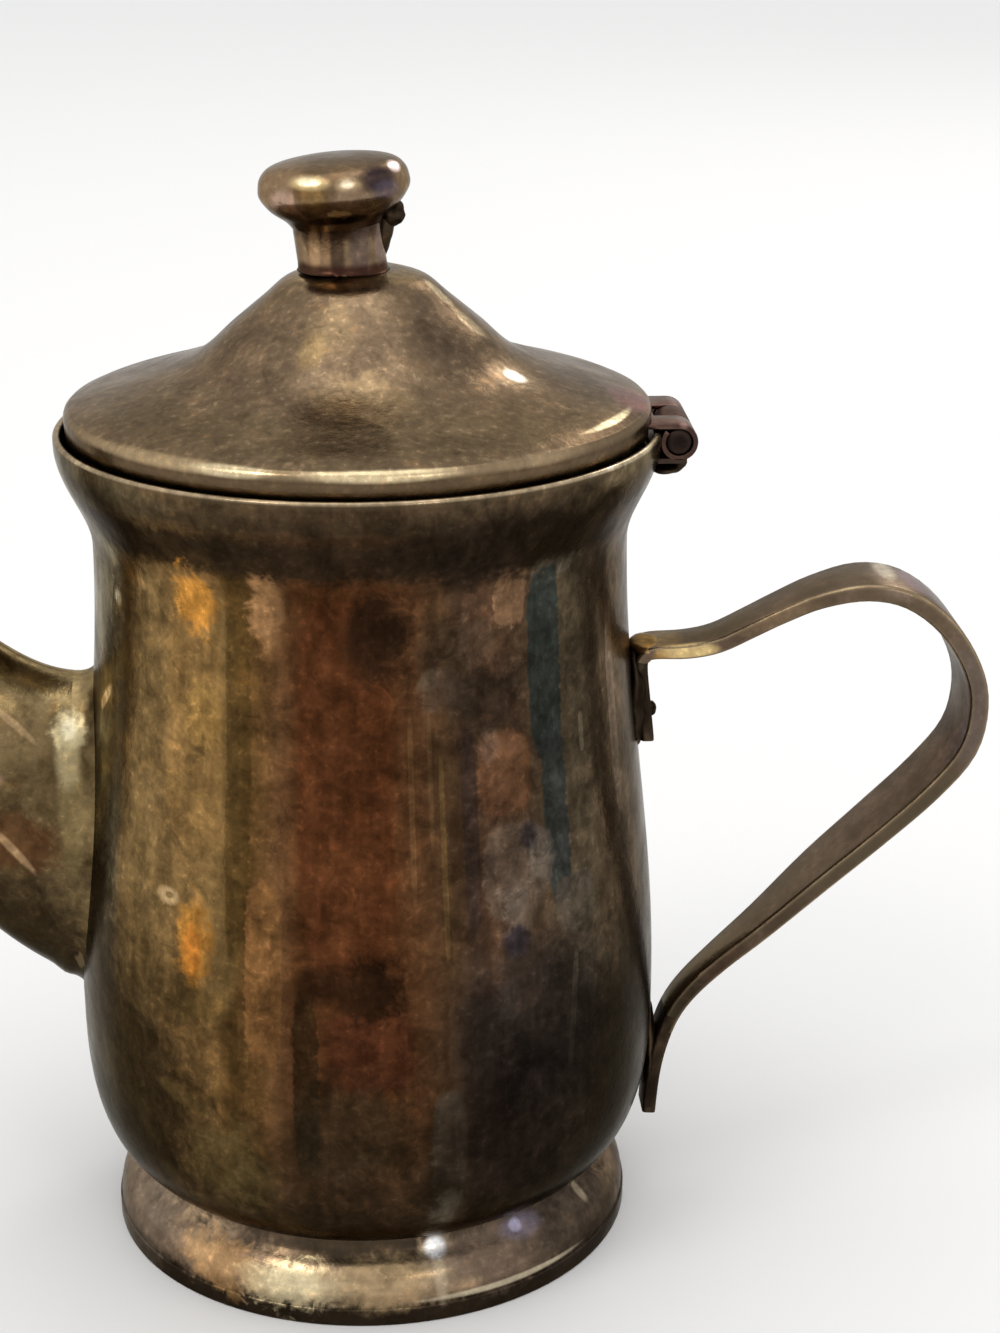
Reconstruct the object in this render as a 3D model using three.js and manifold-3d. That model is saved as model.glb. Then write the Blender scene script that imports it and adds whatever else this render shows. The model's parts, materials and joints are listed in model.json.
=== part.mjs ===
import * as THREE from 'three';
import { mergeVertices } from 'three/addons/utils/BufferGeometryUtils.js';
import Module from 'manifold-3d';

// Small lidded creamer in old silver plate: a spun body on a foot, a spout, a strap handle and a hinged lid.
// Sizes are in millimetres. +Z is up and the origin is on the table under the body's axis.
// The spout points along -X, and the hinge and the handle lie along +X.

const roundSteps = 48;
const smallSteps = 16;

// Gap between soldered or seated pieces, and between pieces that turn on each other
const seatGap = 0.3;
const runningGap = 0.3;

// How far a cutting shape runs past the piece it cuts
const overrun = 5;

const body = {
  bottomRadius: 20,
  bottomHeight: 7.8,
  bellySquareness: 3,
  bellyRadius: 34,
  bellyHeight: 30,
  waistRadius: 30.2,
  waistHeight: 84.5,
  lipRadius: 34,
  lipDrop: 1,
  rimHeight: 97.4,
  wall: 0.9,
};

const foot = {
  seatWidth: 4,
  throatRadius: 25.4,
  throatDrop: 0.3,
  shoulderRadius: 28.2,
  shoulderHeight: 6.6,
  bulgeHeight: 5.4,
  edgeRadius: 31,
  edgeHeight: 2.3,
  standWidth: 1.2,
  wall: 0.9,
};

const lid = { edgeInset: 1.3, edgeHeight: 0.7, crownRadius: 5.2, crownRise: 15.3, wall: 0.8 };

// Upper face of the lid, each point with its height above the lid's lower edge:
// the brim is given in from the edge, the dome out from the axis
const lidBrim = [[0.5, 1.5], [2.7, 2.4], [7.7, 3.9], [14.4, 6.4]];
const lidDome = [[13.9, 10.1], [10.4, 12.9], [7.9, 14.6]];

const collar = { sideGap: 1.6, depth: 3.8, wall: 0.8 };

const hinge = {
  length: 13.8,
  axisBeyondLip: 1.3,
  strapThickness: 0.6,
  knuckleRadius: 2.1,
  knuckleWall: 0.6,
  centreKnuckle: 4.6,
  neckWidth: 2.4,
  tongueReach: 1.2,
  plateThickness: 0.6,
  plateReach: 0.9,
};

const spout = { wall: 0.8, holeHeight: 25, holeWidth: 12 };

// Spout outlines in the XZ plane: out from the belly, then height. The sections run from one to the other.
const spoutTop = [
  [-6, 67.9], [-1, 68.2], [3, 69.3], [7, 71.6], [11, 74.9], [15, 78.9],
  [19, 83.4], [22.5, 87.7], [25.7, 91.8], [28.6, 95.4],
];
const spoutBottom = [
  [-6, 28.6], [0.5, 29.8], [6, 32.8], [12, 38], [18, 44.8], [23.5, 53.2],
  [28, 63.3], [31.8, 74], [35, 84], [38.4, 92.4],
];
const spoutHalfWidths = [10.2, 9.6, 8.6, 8, 7.2, 6.4, 5.7, 5.2, 4.9, 4.7];

const handle = {
  jointBelowWaist: 14.2,
  bendRadius: 1.6,
  tabLength: 10.3,
  tabWidth: 6.6,
  tabThickness: 1.5,
  edgeRound: 0.36,
  seatWidth: 4.4,
};

// Middle line of the handle strap beyond its upper bend, round to the tip of the lower tab:
// distance out from the belly, height above the upper joint, width, thickness
const handleLine = [
  [3.5, 0.1, 6.6, 1.7], [7, 0.8, 6.6, 1.8], [10.8, 2.6, 6.8, 1.8], [14.2, 4.3, 7.2, 1.8],
  [18.6, 6.2, 8, 1.9], [23.8, 7.3, 9.6, 2.1], [28.6, 6.4, 10.4, 2.2], [33, 3.1, 10.8, 2.2],
  [36.2, -1.9, 10.8, 2.2], [37.25, -6.7, 10.8, 2.3], [36.2, -12.1, 10.8, 2.3], [32.3, -17.2, 10.8, 2.2],
  [26.4, -22.9, 10.4, 2.1], [19.9, -28.9, 9.2, 2.1], [13.3, -35.4, 7, 2], [8.4, -39.9, 5.4, 2],
  [4.8, -43.6, 5, 1.9], [2.6, -46.9, 5, 1.8], [1.2, -50.9, 5, 1.7], [0.4, -54.9, 5, 1.7],
  [0, -59.9, 4.8, 1.6],
];
const lowerSeatPoints = 4;

const knob = {
  offset: -1.4,
  leanDegrees: 5,
  stemRadius: 4.85,
  stemHeight: 1,
  neckRadius: 5,
  neckHeight: 5.7,
  topHeight: 13.3,
  socketDepth: 4.2,
};

// Head of the knob from its neck to its flat top: radius, then height above the crown
const knobHead = [[5.7, 6.6], [7.2, 7.8], [8.2, 9.2], [8.3, 10.2], [7.9, 11.5], [6.6, 12.5], [3.4, 13.15]];

const stud = { radius: 1.25, below: 5 };
const washer = { radius: 2.9, thickness: 0.7 };
const nut = { acrossFlats: 5, thickness: 2 };

const wasm = await Module();
wasm.setup();

const lipHeight = body.rimHeight - body.lipDrop;
const leanAngle = THREE.MathUtils.degToRad(knob.leanDegrees);
const lidRadius = body.lipRadius - lid.edgeInset;
const lidBase = body.rimHeight + seatGap + hinge.strapThickness + seatGap;
const crownHeight = lidBase + lid.crownRise;
const handleJoint = body.waistHeight - handle.jointBelowWaist;
const hingeAxis = {
  x: body.lipRadius + hinge.axisBeyondLip,
  z: lidBase - seatGap - hinge.knuckleRadius,
};
const plateTop = hingeAxis.z - hinge.knuckleRadius - runningGap;

// Outer radius of the body at a height: round belly, slow taper to the waist, quick flare to the lip
function bodyRadius(z) {
  if (z <= body.bellyHeight) {
    const share = (body.bellyHeight - z) / (body.bellyHeight - body.bottomHeight);
    const swell = Math.max(0, 1 - share ** body.bellySquareness) ** (1 / body.bellySquareness);
    return body.bottomRadius + (body.bellyRadius - body.bottomRadius) * swell;
  }
  if (z <= body.waistHeight) {
    const share = (z - body.bellyHeight) / (body.waistHeight - body.bellyHeight);
    return THREE.MathUtils.lerp(body.bellyRadius, body.waistRadius, easeInOut(share));
  }
  const share = Math.min(1, (z - body.waistHeight) / (lipHeight - body.waistHeight));
  return THREE.MathUtils.lerp(body.waistRadius, body.lipRadius, easeInOut(share));
}

function easeInOut(share) {
  return (1 - Math.cos(Math.PI * share)) / 2;
}

// Points of a profile moved to its left by a distance, such as a wall's inner face
function offsetProfile(points, distance) {
  return points.map((point, i) => {
    const before = points[Math.max(0, i - 1)];
    const after = points[Math.min(points.length - 1, i + 1)];
    const along = after.clone().sub(before).normalize();
    return new THREE.Vector2(Math.max(0, point.x - along.y * distance), point.y + along.x * distance);
  });
}

// Outside of the body from the middle of its bottom up to just under the rim
function bodyOutline() {
  const points = [new THREE.Vector2(0, body.bottomHeight)];
  const bottomSteps = 7;
  const power = 2 / body.bellySquareness;
  for (let i = 0; i <= bottomSteps; i += 1) {
    const turn = (i / bottomSteps) * (Math.PI / 2);
    points.push(new THREE.Vector2(
      body.bottomRadius + (body.bellyRadius - body.bottomRadius) * Math.sin(turn) ** power,
      body.bellyHeight - (body.bellyHeight - body.bottomHeight) * Math.max(0, Math.cos(turn)) ** power,
    ));
  }
  const taperSteps = 5;
  for (let i = 1; i <= taperSteps; i += 1) {
    const z = THREE.MathUtils.lerp(body.bellyHeight, body.waistHeight, i / taperSteps);
    points.push(new THREE.Vector2(bodyRadius(z), z));
  }
  const flareSteps = 4;
  for (let i = 1; i <= flareSteps; i += 1) {
    const z = THREE.MathUtils.lerp(body.waistHeight, lipHeight, i / flareSteps);
    points.push(new THREE.Vector2(bodyRadius(z), z));
  }
  return points;
}

// Merged, closed mesh with no collapsed faces, turned so that its faces point out
function closeMesh(geometry) {
  geometry.deleteAttribute('normal');
  geometry.deleteAttribute('uv');
  const merged = mergeVertices(geometry);
  const position = merged.getAttribute('position');
  const index = merged.getIndex();
  const faces = [];
  let volume = 0;
  const a = new THREE.Vector3();
  const b = new THREE.Vector3();
  const c = new THREE.Vector3();
  for (let i = 0; i < index.count; i += 3) {
    const corners = [index.getX(i), index.getX(i + 1), index.getX(i + 2)];
    if (new Set(corners).size === 3) {
      faces.push(corners);
      a.fromBufferAttribute(position, corners[0]);
      b.fromBufferAttribute(position, corners[1]);
      c.fromBufferAttribute(position, corners[2]);
      volume += a.dot(b.cross(c));
    }
  }
  merged.setIndex(faces.flatMap((f) => (volume < 0 ? [f[0], f[2], f[1]] : f)));
  return merged;
}

function toManifold(geometry) {
  const closed = closeMesh(geometry);
  return new wasm.Manifold(new wasm.Mesh({
    numProp: 3,
    vertProperties: new Float32Array(closed.getAttribute('position').array),
    triVerts: new Uint32Array(closed.getIndex().array),
  }));
}

function toGeometry(solid) {
  const mesh = solid.getMesh();
  const geometry = new THREE.BufferGeometry();
  geometry.setAttribute('position', new THREE.BufferAttribute(mesh.vertProperties, 3));
  geometry.setIndex(new THREE.BufferAttribute(mesh.triVerts, 1));
  return geometry;
}

// Profile of [radius, height] points turned round the Z axis
function revolve(points, steps) {
  return new THREE.LatheGeometry(points, steps).rotateX(Math.PI / 2);
}

// Shape in the XZ plane, drawn out along Y between two places
function slab(shape, fromY, toY) {
  const geometry = new THREE.ExtrudeGeometry(shape, {
    depth: toY - fromY,
    bevelEnabled: false,
    curveSegments: smallSteps,
  });
  return geometry.rotateX(Math.PI / 2).translate(0, toY, 0);
}

function disc(x, z, radius) {
  const shape = new THREE.Shape();
  shape.absarc(x, z, radius, 0, 2 * Math.PI, false);
  return shape;
}

function rectangle(x0, z0, x1, z1) {
  return new THREE.Shape([[x0, z0], [x1, z0], [x1, z1], [x0, z1]].map((p) => new THREE.Vector2(...p)));
}

// Closed skin over a row of rings that all have the same number of points
function loft(rings) {
  const count = rings[0].length;
  const positions = rings.flat().flatMap((p) => [p.x, p.y, p.z]);
  const faces = [];
  for (let r = 0; r < rings.length - 1; r += 1) {
    for (let i = 0; i < count; i += 1) {
      const next = (i + 1) % count;
      const low = r * count;
      const high = low + count;
      faces.push(low + i, low + next, high + next, low + i, high + next, high + i);
    }
  }
  return { positions, faces, count, last: (rings.length - 1) * count };
}

function loftGeometry({ positions, faces }) {
  const geometry = new THREE.BufferGeometry();
  geometry.setAttribute('position', new THREE.Float32BufferAttribute(positions, 3));
  geometry.setIndex(faces);
  return geometry;
}

function finish(name, geometry, colour, roughness, metalness) {
  const material = new THREE.MeshStandardMaterial({ color: colour, roughness, metalness });
  const mesh = new THREE.Mesh(geometry, material);
  mesh.name = name;
  geometry.computeVertexNormals();
  return mesh;
}

// Solid that fills the body out to its surface and one seat gap more, to trim what is soldered on
function bodyEnvelope() {
  const outside = offsetProfile(bodyOutline(), -seatGap);
  outside[0].x = 0;
  outside.push(new THREE.Vector2(outside.at(-1).x, body.rimHeight + seatGap));
  outside.push(new THREE.Vector2(0, body.rimHeight + seatGap));
  return toManifold(revolve(outside, roundSteps));
}

function makeBody() {
  const outside = bodyOutline();
  const inside = offsetProfile(outside, body.wall).reverse();
  const rim = [];
  const rimSteps = 4;
  const half = body.wall / 2;
  for (let i = 0; i <= rimSteps; i += 1) {
    const turn = (i / rimSteps) * Math.PI;
    rim.push(new THREE.Vector2(
      body.lipRadius - half + half * Math.cos(turn),
      body.rimHeight - half + half * Math.sin(turn),
    ));
  }
  const shell = toManifold(revolve([...outside, ...rim, ...inside], roundSteps));
  const pourHole = new THREE.Shape();
  const middle = (spoutTop[0][1] + spoutBottom[0][1]) / 2;
  pourHole.absellipse(0, middle, spout.holeWidth / 2, spout.holeHeight / 2, 0, 2 * Math.PI);
  const holeCutter = slab(pourHole, 0, body.bellyRadius + overrun).rotateZ(Math.PI / 2);
  const notchHalf = hinge.length / 2 + runningGap;
  const notchOutline = rectangle(
    body.lipRadius - overrun, plateTop, body.lipRadius + overrun, body.rimHeight + overrun);
  const notch = toManifold(slab(notchOutline, -notchHalf, notchHalf));
  const solid = shell.subtract(toManifold(holeCutter)).subtract(notch);
  return finish('body_shell', toGeometry(solid), 0x7d6a4c, 0.3, 0.9);
}

// Foot ring: a flat seat under the body, a rounded skirt and a narrow standing rim
function makeFoot() {
  const seatInner = body.bottomRadius - foot.seatWidth;
  const throatHeight = body.bottomHeight - foot.throatDrop;
  const skirt = new THREE.QuadraticBezierCurve(
    new THREE.Vector2(foot.shoulderRadius, foot.shoulderHeight),
    new THREE.Vector2(foot.edgeRadius, foot.bulgeHeight),
    new THREE.Vector2(foot.edgeRadius, foot.edgeHeight),
  ).getPoints(4);
  const outside = [
    new THREE.Vector2(seatInner, body.bottomHeight),
    new THREE.Vector2(body.bottomRadius, body.bottomHeight),
    new THREE.Vector2(body.bottomRadius + foot.throatDrop, throatHeight),
    new THREE.Vector2(foot.throatRadius, throatHeight),
    ...skirt,
    new THREE.Vector2(foot.edgeRadius, 0),
  ];
  const inside = offsetProfile(outside, -foot.wall).slice(0, -2).reverse();
  inside[inside.length - 1].x = seatInner;
  const stand = foot.edgeRadius - foot.standWidth;
  const profile = [...outside, new THREE.Vector2(stand, 0), new THREE.Vector2(stand, foot.edgeHeight),
    ...inside, outside[0].clone()];
  return finish('foot_ring', closeMesh(revolve(profile, roundSteps)), 0x8f7f66, 0.32, 0.9);
}

// Upper face of the lid from its turned-down edge to the flat crown under the knob
function lidOutline() {
  const edge = [
    new THREE.Vector2(lidRadius, lidBase),
    new THREE.Vector2(lidRadius, lidBase + lid.edgeHeight),
  ];
  const sweep = new THREE.SplineCurve([
    ...lidBrim.map(([inset, rise]) => new THREE.Vector2(lidRadius - inset, lidBase + rise)),
    ...lidDome.map(([radius, rise]) => new THREE.Vector2(radius, lidBase + rise)),
    new THREE.Vector2(lid.crownRadius, crownHeight),
  ]).getPoints(11);
  return [...edge, ...sweep, new THREE.Vector2(0, crownHeight)];
}

function makeLid(studCutter) {
  const outside = lidOutline();
  const inside = offsetProfile(outside, lid.wall);
  inside[inside.length - 1].x = 0;
  inside[0].y = lidBase;
  const shell = toManifold(revolve([...outside].reverse().concat(inside), roundSteps));
  return finish('lid_shell', toGeometry(shell.subtract(studCutter)), 0x7f7057, 0.34, 0.9);
}

function makeCollar() {
  const bottom = body.rimHeight - collar.depth;
  const outer = bodyRadius(bottom) - body.wall - collar.sideGap;
  const under = offsetProfile(lidOutline(), lid.wall + seatGap);
  const top = heightAt(under, outer);
  const profile = [
    [outer, bottom], [outer, top], [outer - collar.wall, top], [outer - collar.wall, bottom], [outer, bottom],
  ].map((p) => new THREE.Vector2(...p));
  return finish('lid_collar', closeMesh(revolve(profile, roundSteps)), 0x6f6149, 0.4, 0.9);
}

// Height at which a profile that runs inwards passes a radius
function heightAt(points, radius) {
  for (let i = 1; i < points.length; i += 1) {
    const [from, to] = [points[i - 1], points[i]];
    if (from.x >= radius && to.x < radius) {
      return THREE.MathUtils.lerp(from.y, to.y, (from.x - radius) / (from.x - to.x));
    }
  }
  return points.at(-1).y;
}

// One pressed half of the spout, on the side of -Y or +Y, trimmed to the body
function makeSpoutHalf(name, side, envelope) {
  const top = outlineCurve(spoutTop);
  const bottom = outlineCurve(spoutBottom);
  const widths = new THREE.SplineCurve(spoutHalfWidths.map((w, i) => new THREE.Vector2(i, w)));
  const stations = 20;
  const arcSteps = 8;
  const rings = [];
  for (let s = 0; s <= stations; s += 1) {
    const share = s / stations;
    const up = top.getPoint(share);
    const down = bottom.getPoint(share);
    const middle = up.clone().add(down).multiplyScalar(0.5);
    const major = up.clone().sub(down).multiplyScalar(0.5);
    const wide = widths.getPoint(share).y;
    const ring = [];
    const addArc = (inset, from, to) => {
      const tall = (major.length() - inset) / major.length();
      for (let i = 0; i <= arcSteps; i += 1) {
        const turn = THREE.MathUtils.lerp(from, to, i / arcSteps);
        const lift = Math.sin(turn) * tall;
        const out = i % arcSteps === 0 ? 0 : Math.cos(turn) * (wide - inset);
        ring.push(new THREE.Vector3(middle.x + major.x * lift, side * out, middle.y + major.y * lift));
      }
    };
    addArc(0, -Math.PI / 2, Math.PI / 2);
    addArc(spout.wall, Math.PI / 2, -Math.PI / 2);
    rings.push(ring);
  }
  const skin = loft(rings);
  for (let i = 0; i < arcSteps; i += 1) {
    const partner = skin.count - 1 - i;
    skin.faces.push(i, partner, partner - 1, i, partner - 1, i + 1);
    const [a, b, c, d] = [i, i + 1, partner - 1, partner].map((k) => skin.last + k);
    skin.faces.push(a, b, c, a, c, d);
  }
  const solid = toManifold(loftGeometry(skin)).subtract(envelope);
  return finish(name, toGeometry(solid), 0x77654a, 0.3, 0.9);
}

// Smooth line through outline points that are given as distance out from the belly and height
function outlineCurve(points) {
  return new THREE.SplineCurve(points.map(([out, z]) => new THREE.Vector2(-(body.bellyRadius + out), z)));
}

// Middle line of the whole handle strap, with the upper tab laid on the wall below its bend
function handleStations() {
  const { tabWidth, tabThickness, tabLength, bendRadius } = handle;
  const wallAt = (z) => bodyRadius(z) + seatGap + tabThickness / 2;
  const tabFoot = handleJoint - tabLength;
  const bendBase = handleJoint - bendRadius;
  const bendX = wallAt(bendBase);
  const tabMiddle = (tabFoot + bendBase) / 2;
  const stations = [tabFoot, tabMiddle].map((z) => [wallAt(z), z, tabWidth, tabThickness]);
  const bendSteps = 2;
  for (let i = 0; i <= bendSteps; i += 1) {
    const turn = (i / bendSteps) * (Math.PI / 2);
    stations.push([
      bendX + bendRadius * (1 - Math.cos(turn)),
      bendBase + bendRadius * Math.sin(turn),
      tabWidth,
      tabThickness,
    ]);
  }
  return stations.concat(handleLine.map(([out, up, ...size]) => [
    body.bellyRadius + out, handleJoint + up, ...size,
  ]));
}

function makeHandle(envelope) {
  const stations = handleStations();
  const path = new THREE.CatmullRomCurve3(stations.map(([x, z]) => new THREE.Vector3(x, 0, z)));
  const sizes = new THREE.CatmullRomCurve3(stations.map(([, , w, t]) => new THREE.Vector3(w, t, 0)));
  const steps = (stations.length - 1) * 2;
  const rings = [];
  for (let s = 0; s <= steps; s += 1) {
    const share = s / steps;
    const middle = path.getPoint(share);
    const along = path.getTangent(share);
    const out = new THREE.Vector3(along.z, 0, -along.x);
    const { x: width, y: thickness } = sizes.getPoint(share);
    const round = thickness * handle.edgeRound;
    const ring = [];
    for (let corner = 0; corner < 4; corner += 1) {
      const signY = corner === 0 || corner === 3 ? 1 : -1;
      const signOut = corner < 2 ? 1 : -1;
      for (let k = 0; k < 3; k += 1) {
        const turn = (corner + k / 2) * (Math.PI / 2);
        const y = signY * (width / 2 - round) + round * Math.cos(turn);
        const depth = signOut * (thickness / 2 - round) + round * Math.sin(turn);
        ring.push(middle.clone().addScaledVector(out, depth).setY(y));
      }
    }
    rings.push(ring);
  }
  const skin = loft(rings);
  for (let i = 1; i < skin.count - 1; i += 1) {
    skin.faces.push(0, i + 1, i);
    skin.faces.push(skin.last, skin.last + i, skin.last + i + 1);
  }
  const strap = toManifold(loftGeometry(skin));
  const solid = strap.add(toManifold(lowerSeat())).subtract(envelope);
  return finish('handle', toGeometry(solid), 0x65563f, 0.34, 0.9);
}

// Solder seat that fills the space between the lower tab and the belly
function lowerSeat() {
  const line = handleLine.slice(-lowerSeatPoints, -1)
    .map(([out, up]) => new THREE.Vector2(body.bellyRadius + out, handleJoint + up));
  const root = body.bellyRadius - overrun;
  const outline = [new THREE.Vector2(root, line[0].y), ...line, new THREE.Vector2(root, line.at(-1).y)];
  return slab(new THREE.Shape(outline), -handle.seatWidth / 2, handle.seatWidth / 2);
}

// Plate under the rim's notch, which carries the middle knuckle
function makeHingeBracket(envelope) {
  const half = hinge.length / 2;
  const middle = hinge.centreKnuckle / 2;
  const outer = hingeAxis.x + hinge.plateReach;
  const plateBottom = plateTop - hinge.plateThickness;
  const plateOutline = rectangle(body.lipRadius - overrun, plateBottom, outer, plateTop);
  const plate = toManifold(slab(plateOutline, -half, half));
  const neckShape = rectangle(outer - hinge.neckWidth, plateBottom, outer, hingeAxis.z);
  const neck = toManifold(slab(neckShape, -middle, middle));
  const knuckle = toManifold(slab(disc(hingeAxis.x, hingeAxis.z, hinge.knuckleRadius), -middle, middle));
  const solid = plate.subtract(envelope).add(neck).add(knuckle).subtract(pinBore());
  return finish('hinge_bracket', toGeometry(solid), 0x4d4234, 0.42, 0.9);
}

function pinBore() {
  const radius = hinge.knuckleRadius - hinge.knuckleWall;
  return toManifold(slab(disc(hingeAxis.x, hingeAxis.z, radius), -hinge.length, hinge.length));
}

// Strap under the lid's edge that rolls down into the two end knuckles
function makeHingeStrap() {
  const half = hinge.length / 2;
  const top = hingeAxis.z + hinge.knuckleRadius;
  const window = hinge.centreKnuckle / 2 + runningGap;
  const tongue = toManifold(slab(rectangle(
    lidRadius - hinge.tongueReach, top - hinge.strapThickness, hingeAxis.x, top), -half, half));
  const roll = toManifold(slab(disc(hingeAxis.x, hingeAxis.z, hinge.knuckleRadius), -half, half));
  const gapDisc = disc(hingeAxis.x, hingeAxis.z, hinge.knuckleRadius + runningGap);
  const solid = tongue.add(roll).subtract(toManifold(slab(gapDisc, -window, window))).subtract(pinBore());
  return finish('hinge_strap', toGeometry(solid), 0x8a6d62, 0.3, 0.9);
}

function makeHingePin() {
  const radius = hinge.knuckleRadius - hinge.knuckleWall - runningGap;
  const geometry = new THREE.CylinderGeometry(radius, radius, hinge.length, smallSteps);
  const pin = finish('hinge_pin', closeMesh(geometry), 0x3b302a, 0.5, 0.85);
  pin.position.set(hingeAxis.x, 0, hingeAxis.z);
  return pin;
}

// Knob, its stud, washer and nut stand on one leaning axis through the crown of the lid
function makeKnobGroup() {
  const group = new THREE.Group();
  group.position.set(knob.offset, 0, crownHeight);
  group.rotation.y = -leanAngle;
  group.updateMatrix();
  const boreRadius = stud.radius + seatGap;
  const socketTop = knob.neckHeight + knob.socketDepth;
  const skirt = knob.stemRadius / 2;
  const head = new THREE.SplineCurve([
    [knob.neckRadius, knob.neckHeight], ...knobHead, [0, knob.topHeight],
  ].map((p) => new THREE.Vector2(...p))).getPoints(12);
  const profile = [
    new THREE.Vector2(0, socketTop), new THREE.Vector2(boreRadius, socketTop),
    new THREE.Vector2(boreRadius, -skirt), new THREE.Vector2(knob.stemRadius, -skirt),
    new THREE.Vector2(knob.stemRadius, knob.stemHeight), ...head,
  ];
  profile.at(-1).x = 0;
  const blank = toManifold(revolve(profile, roundSteps / 2));
  const crown = new THREE.BoxGeometry(body.bellyRadius, body.bellyRadius, lid.crownRise)
    .translate(0, 0, crownHeight + seatGap - lid.crownRise / 2)
    .applyMatrix4(group.matrix.clone().invert());
  const seated = blank.subtract(toManifold(crown));
  group.add(finish('knob', toGeometry(seated), 0x84705a, 0.3, 0.9));

  const studTop = socketTop - seatGap;
  const studLength = studTop + stud.below;
  const studGeometry = new THREE.CylinderGeometry(stud.radius, stud.radius, studLength, smallSteps);
  const studMesh = finish('knob_stud', closeMesh(studGeometry.rotateX(Math.PI / 2)), 0x8c8068, 0.4, 0.9);
  studMesh.position.z = studTop - studLength / 2;
  group.add(studMesh);

  const washerTop = -(lid.wall + seatGap + washer.radius * Math.sin(leanAngle));
  const ring = disc(0, 0, washer.radius);
  ring.holes.push(disc(0, 0, boreRadius));
  const washerMesh = finish('knob_washer', flatPlate(ring, washer.thickness), 0x8c8068, 0.45, 0.9);
  washerMesh.position.z = washerTop - washer.thickness;
  group.add(washerMesh);

  const hexagon = new THREE.Shape();
  for (let i = 0; i < 6; i += 1) {
    const corner = new THREE.Vector2(nut.acrossFlats / Math.sqrt(3), 0)
      .rotateAround(new THREE.Vector2(), (i * Math.PI) / 3);
    if (i === 0) hexagon.moveTo(corner.x, corner.y);
    else hexagon.lineTo(corner.x, corner.y);
  }
  hexagon.holes.push(disc(0, 0, boreRadius));
  const nutMesh = finish('knob_nut', flatPlate(hexagon, nut.thickness), 0x8c8068, 0.45, 0.9);
  nutMesh.position.z = washerMesh.position.z - nut.thickness;
  group.add(nutMesh);
  return group;
}

// Flat plate of a shape in the XY plane, its underside at z = 0
function flatPlate(shape, thickness) {
  return closeMesh(new THREE.ExtrudeGeometry(shape, {
    depth: thickness, bevelEnabled: false, curveSegments: 8,
  }));
}

// Clearance hole through the crown, along the leaning stud
function crownHole(knobGroup) {
  const radius = stud.radius + seatGap;
  const cylinder = new THREE.CylinderGeometry(radius, radius, 2 * stud.below, smallSteps)
    .rotateX(Math.PI / 2)
    .applyMatrix4(knobGroup.matrix);
  return toManifold(cylinder);
}

const envelope = bodyEnvelope();
const knobGroup = makeKnobGroup();

const pot = new THREE.Group();
pot.add(
  makeBody(),
  makeFoot(),
  makeSpoutHalf('spout_left_half', -1, envelope),
  makeSpoutHalf('spout_right_half', 1, envelope),
  makeHandle(envelope),
  makeHingeBracket(envelope),
  makeHingePin(),
);

const lidGroup = new THREE.Group();
lidGroup.add(makeLid(crownHole(knobGroup)), makeCollar(), makeHingeStrap(), knobGroup);

const group = new THREE.Group();
group.add(pot, lidGroup);

export default group;
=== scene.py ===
import json
import math

import bmesh
import bpy
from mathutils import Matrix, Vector


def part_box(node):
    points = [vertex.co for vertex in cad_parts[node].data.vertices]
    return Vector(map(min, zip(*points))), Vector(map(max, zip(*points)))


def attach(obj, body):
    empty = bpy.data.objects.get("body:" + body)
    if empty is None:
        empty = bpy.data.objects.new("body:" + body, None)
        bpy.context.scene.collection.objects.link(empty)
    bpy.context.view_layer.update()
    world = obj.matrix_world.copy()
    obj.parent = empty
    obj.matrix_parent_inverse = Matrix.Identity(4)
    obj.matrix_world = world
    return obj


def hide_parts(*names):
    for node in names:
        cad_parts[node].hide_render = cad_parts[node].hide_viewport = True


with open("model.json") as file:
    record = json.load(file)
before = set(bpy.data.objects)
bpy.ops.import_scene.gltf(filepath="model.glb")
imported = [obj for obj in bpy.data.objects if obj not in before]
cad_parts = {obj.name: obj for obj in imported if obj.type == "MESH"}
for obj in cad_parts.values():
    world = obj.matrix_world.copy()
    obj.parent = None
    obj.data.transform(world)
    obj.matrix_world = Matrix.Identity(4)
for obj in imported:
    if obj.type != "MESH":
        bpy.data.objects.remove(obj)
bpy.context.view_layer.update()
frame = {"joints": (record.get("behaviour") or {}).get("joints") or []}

# Body
# One round sheet of silver-plated brass, spun over a form into a cup with a round belly, a slow taper
# to the waist and a flared lip whose edge is rolled over. The hinge is let into a notch in the rim,
# and the wall is pierced behind the spout.
MM = 0.001
BODY_LOW, BODY_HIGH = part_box("body_shell")
LIP_RADIUS = BODY_HIGH.y
RIM_HEIGHT = BODY_HIGH.z
BOTTOM_HEIGHT = BODY_LOW.z
BOTTOM_RADIUS = 20 * MM
BELLY_RADIUS = LIP_RADIUS
BELLY_HEIGHT = 30 * MM
# A power of 2 would be a round belly, and a higher one is squarer
BELLY_POWER = 3
WAIST_RADIUS = 30.2 * MM
WAIST_HEIGHT = 84.5 * MM
LIP_HEIGHT = RIM_HEIGHT - 1 * MM
BODY_WALL = 0.9 * MM


def ease(share):
    """A slow start and a slow end between 0 and 1."""
    return (1 - math.cos(math.pi * share)) / 2


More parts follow.
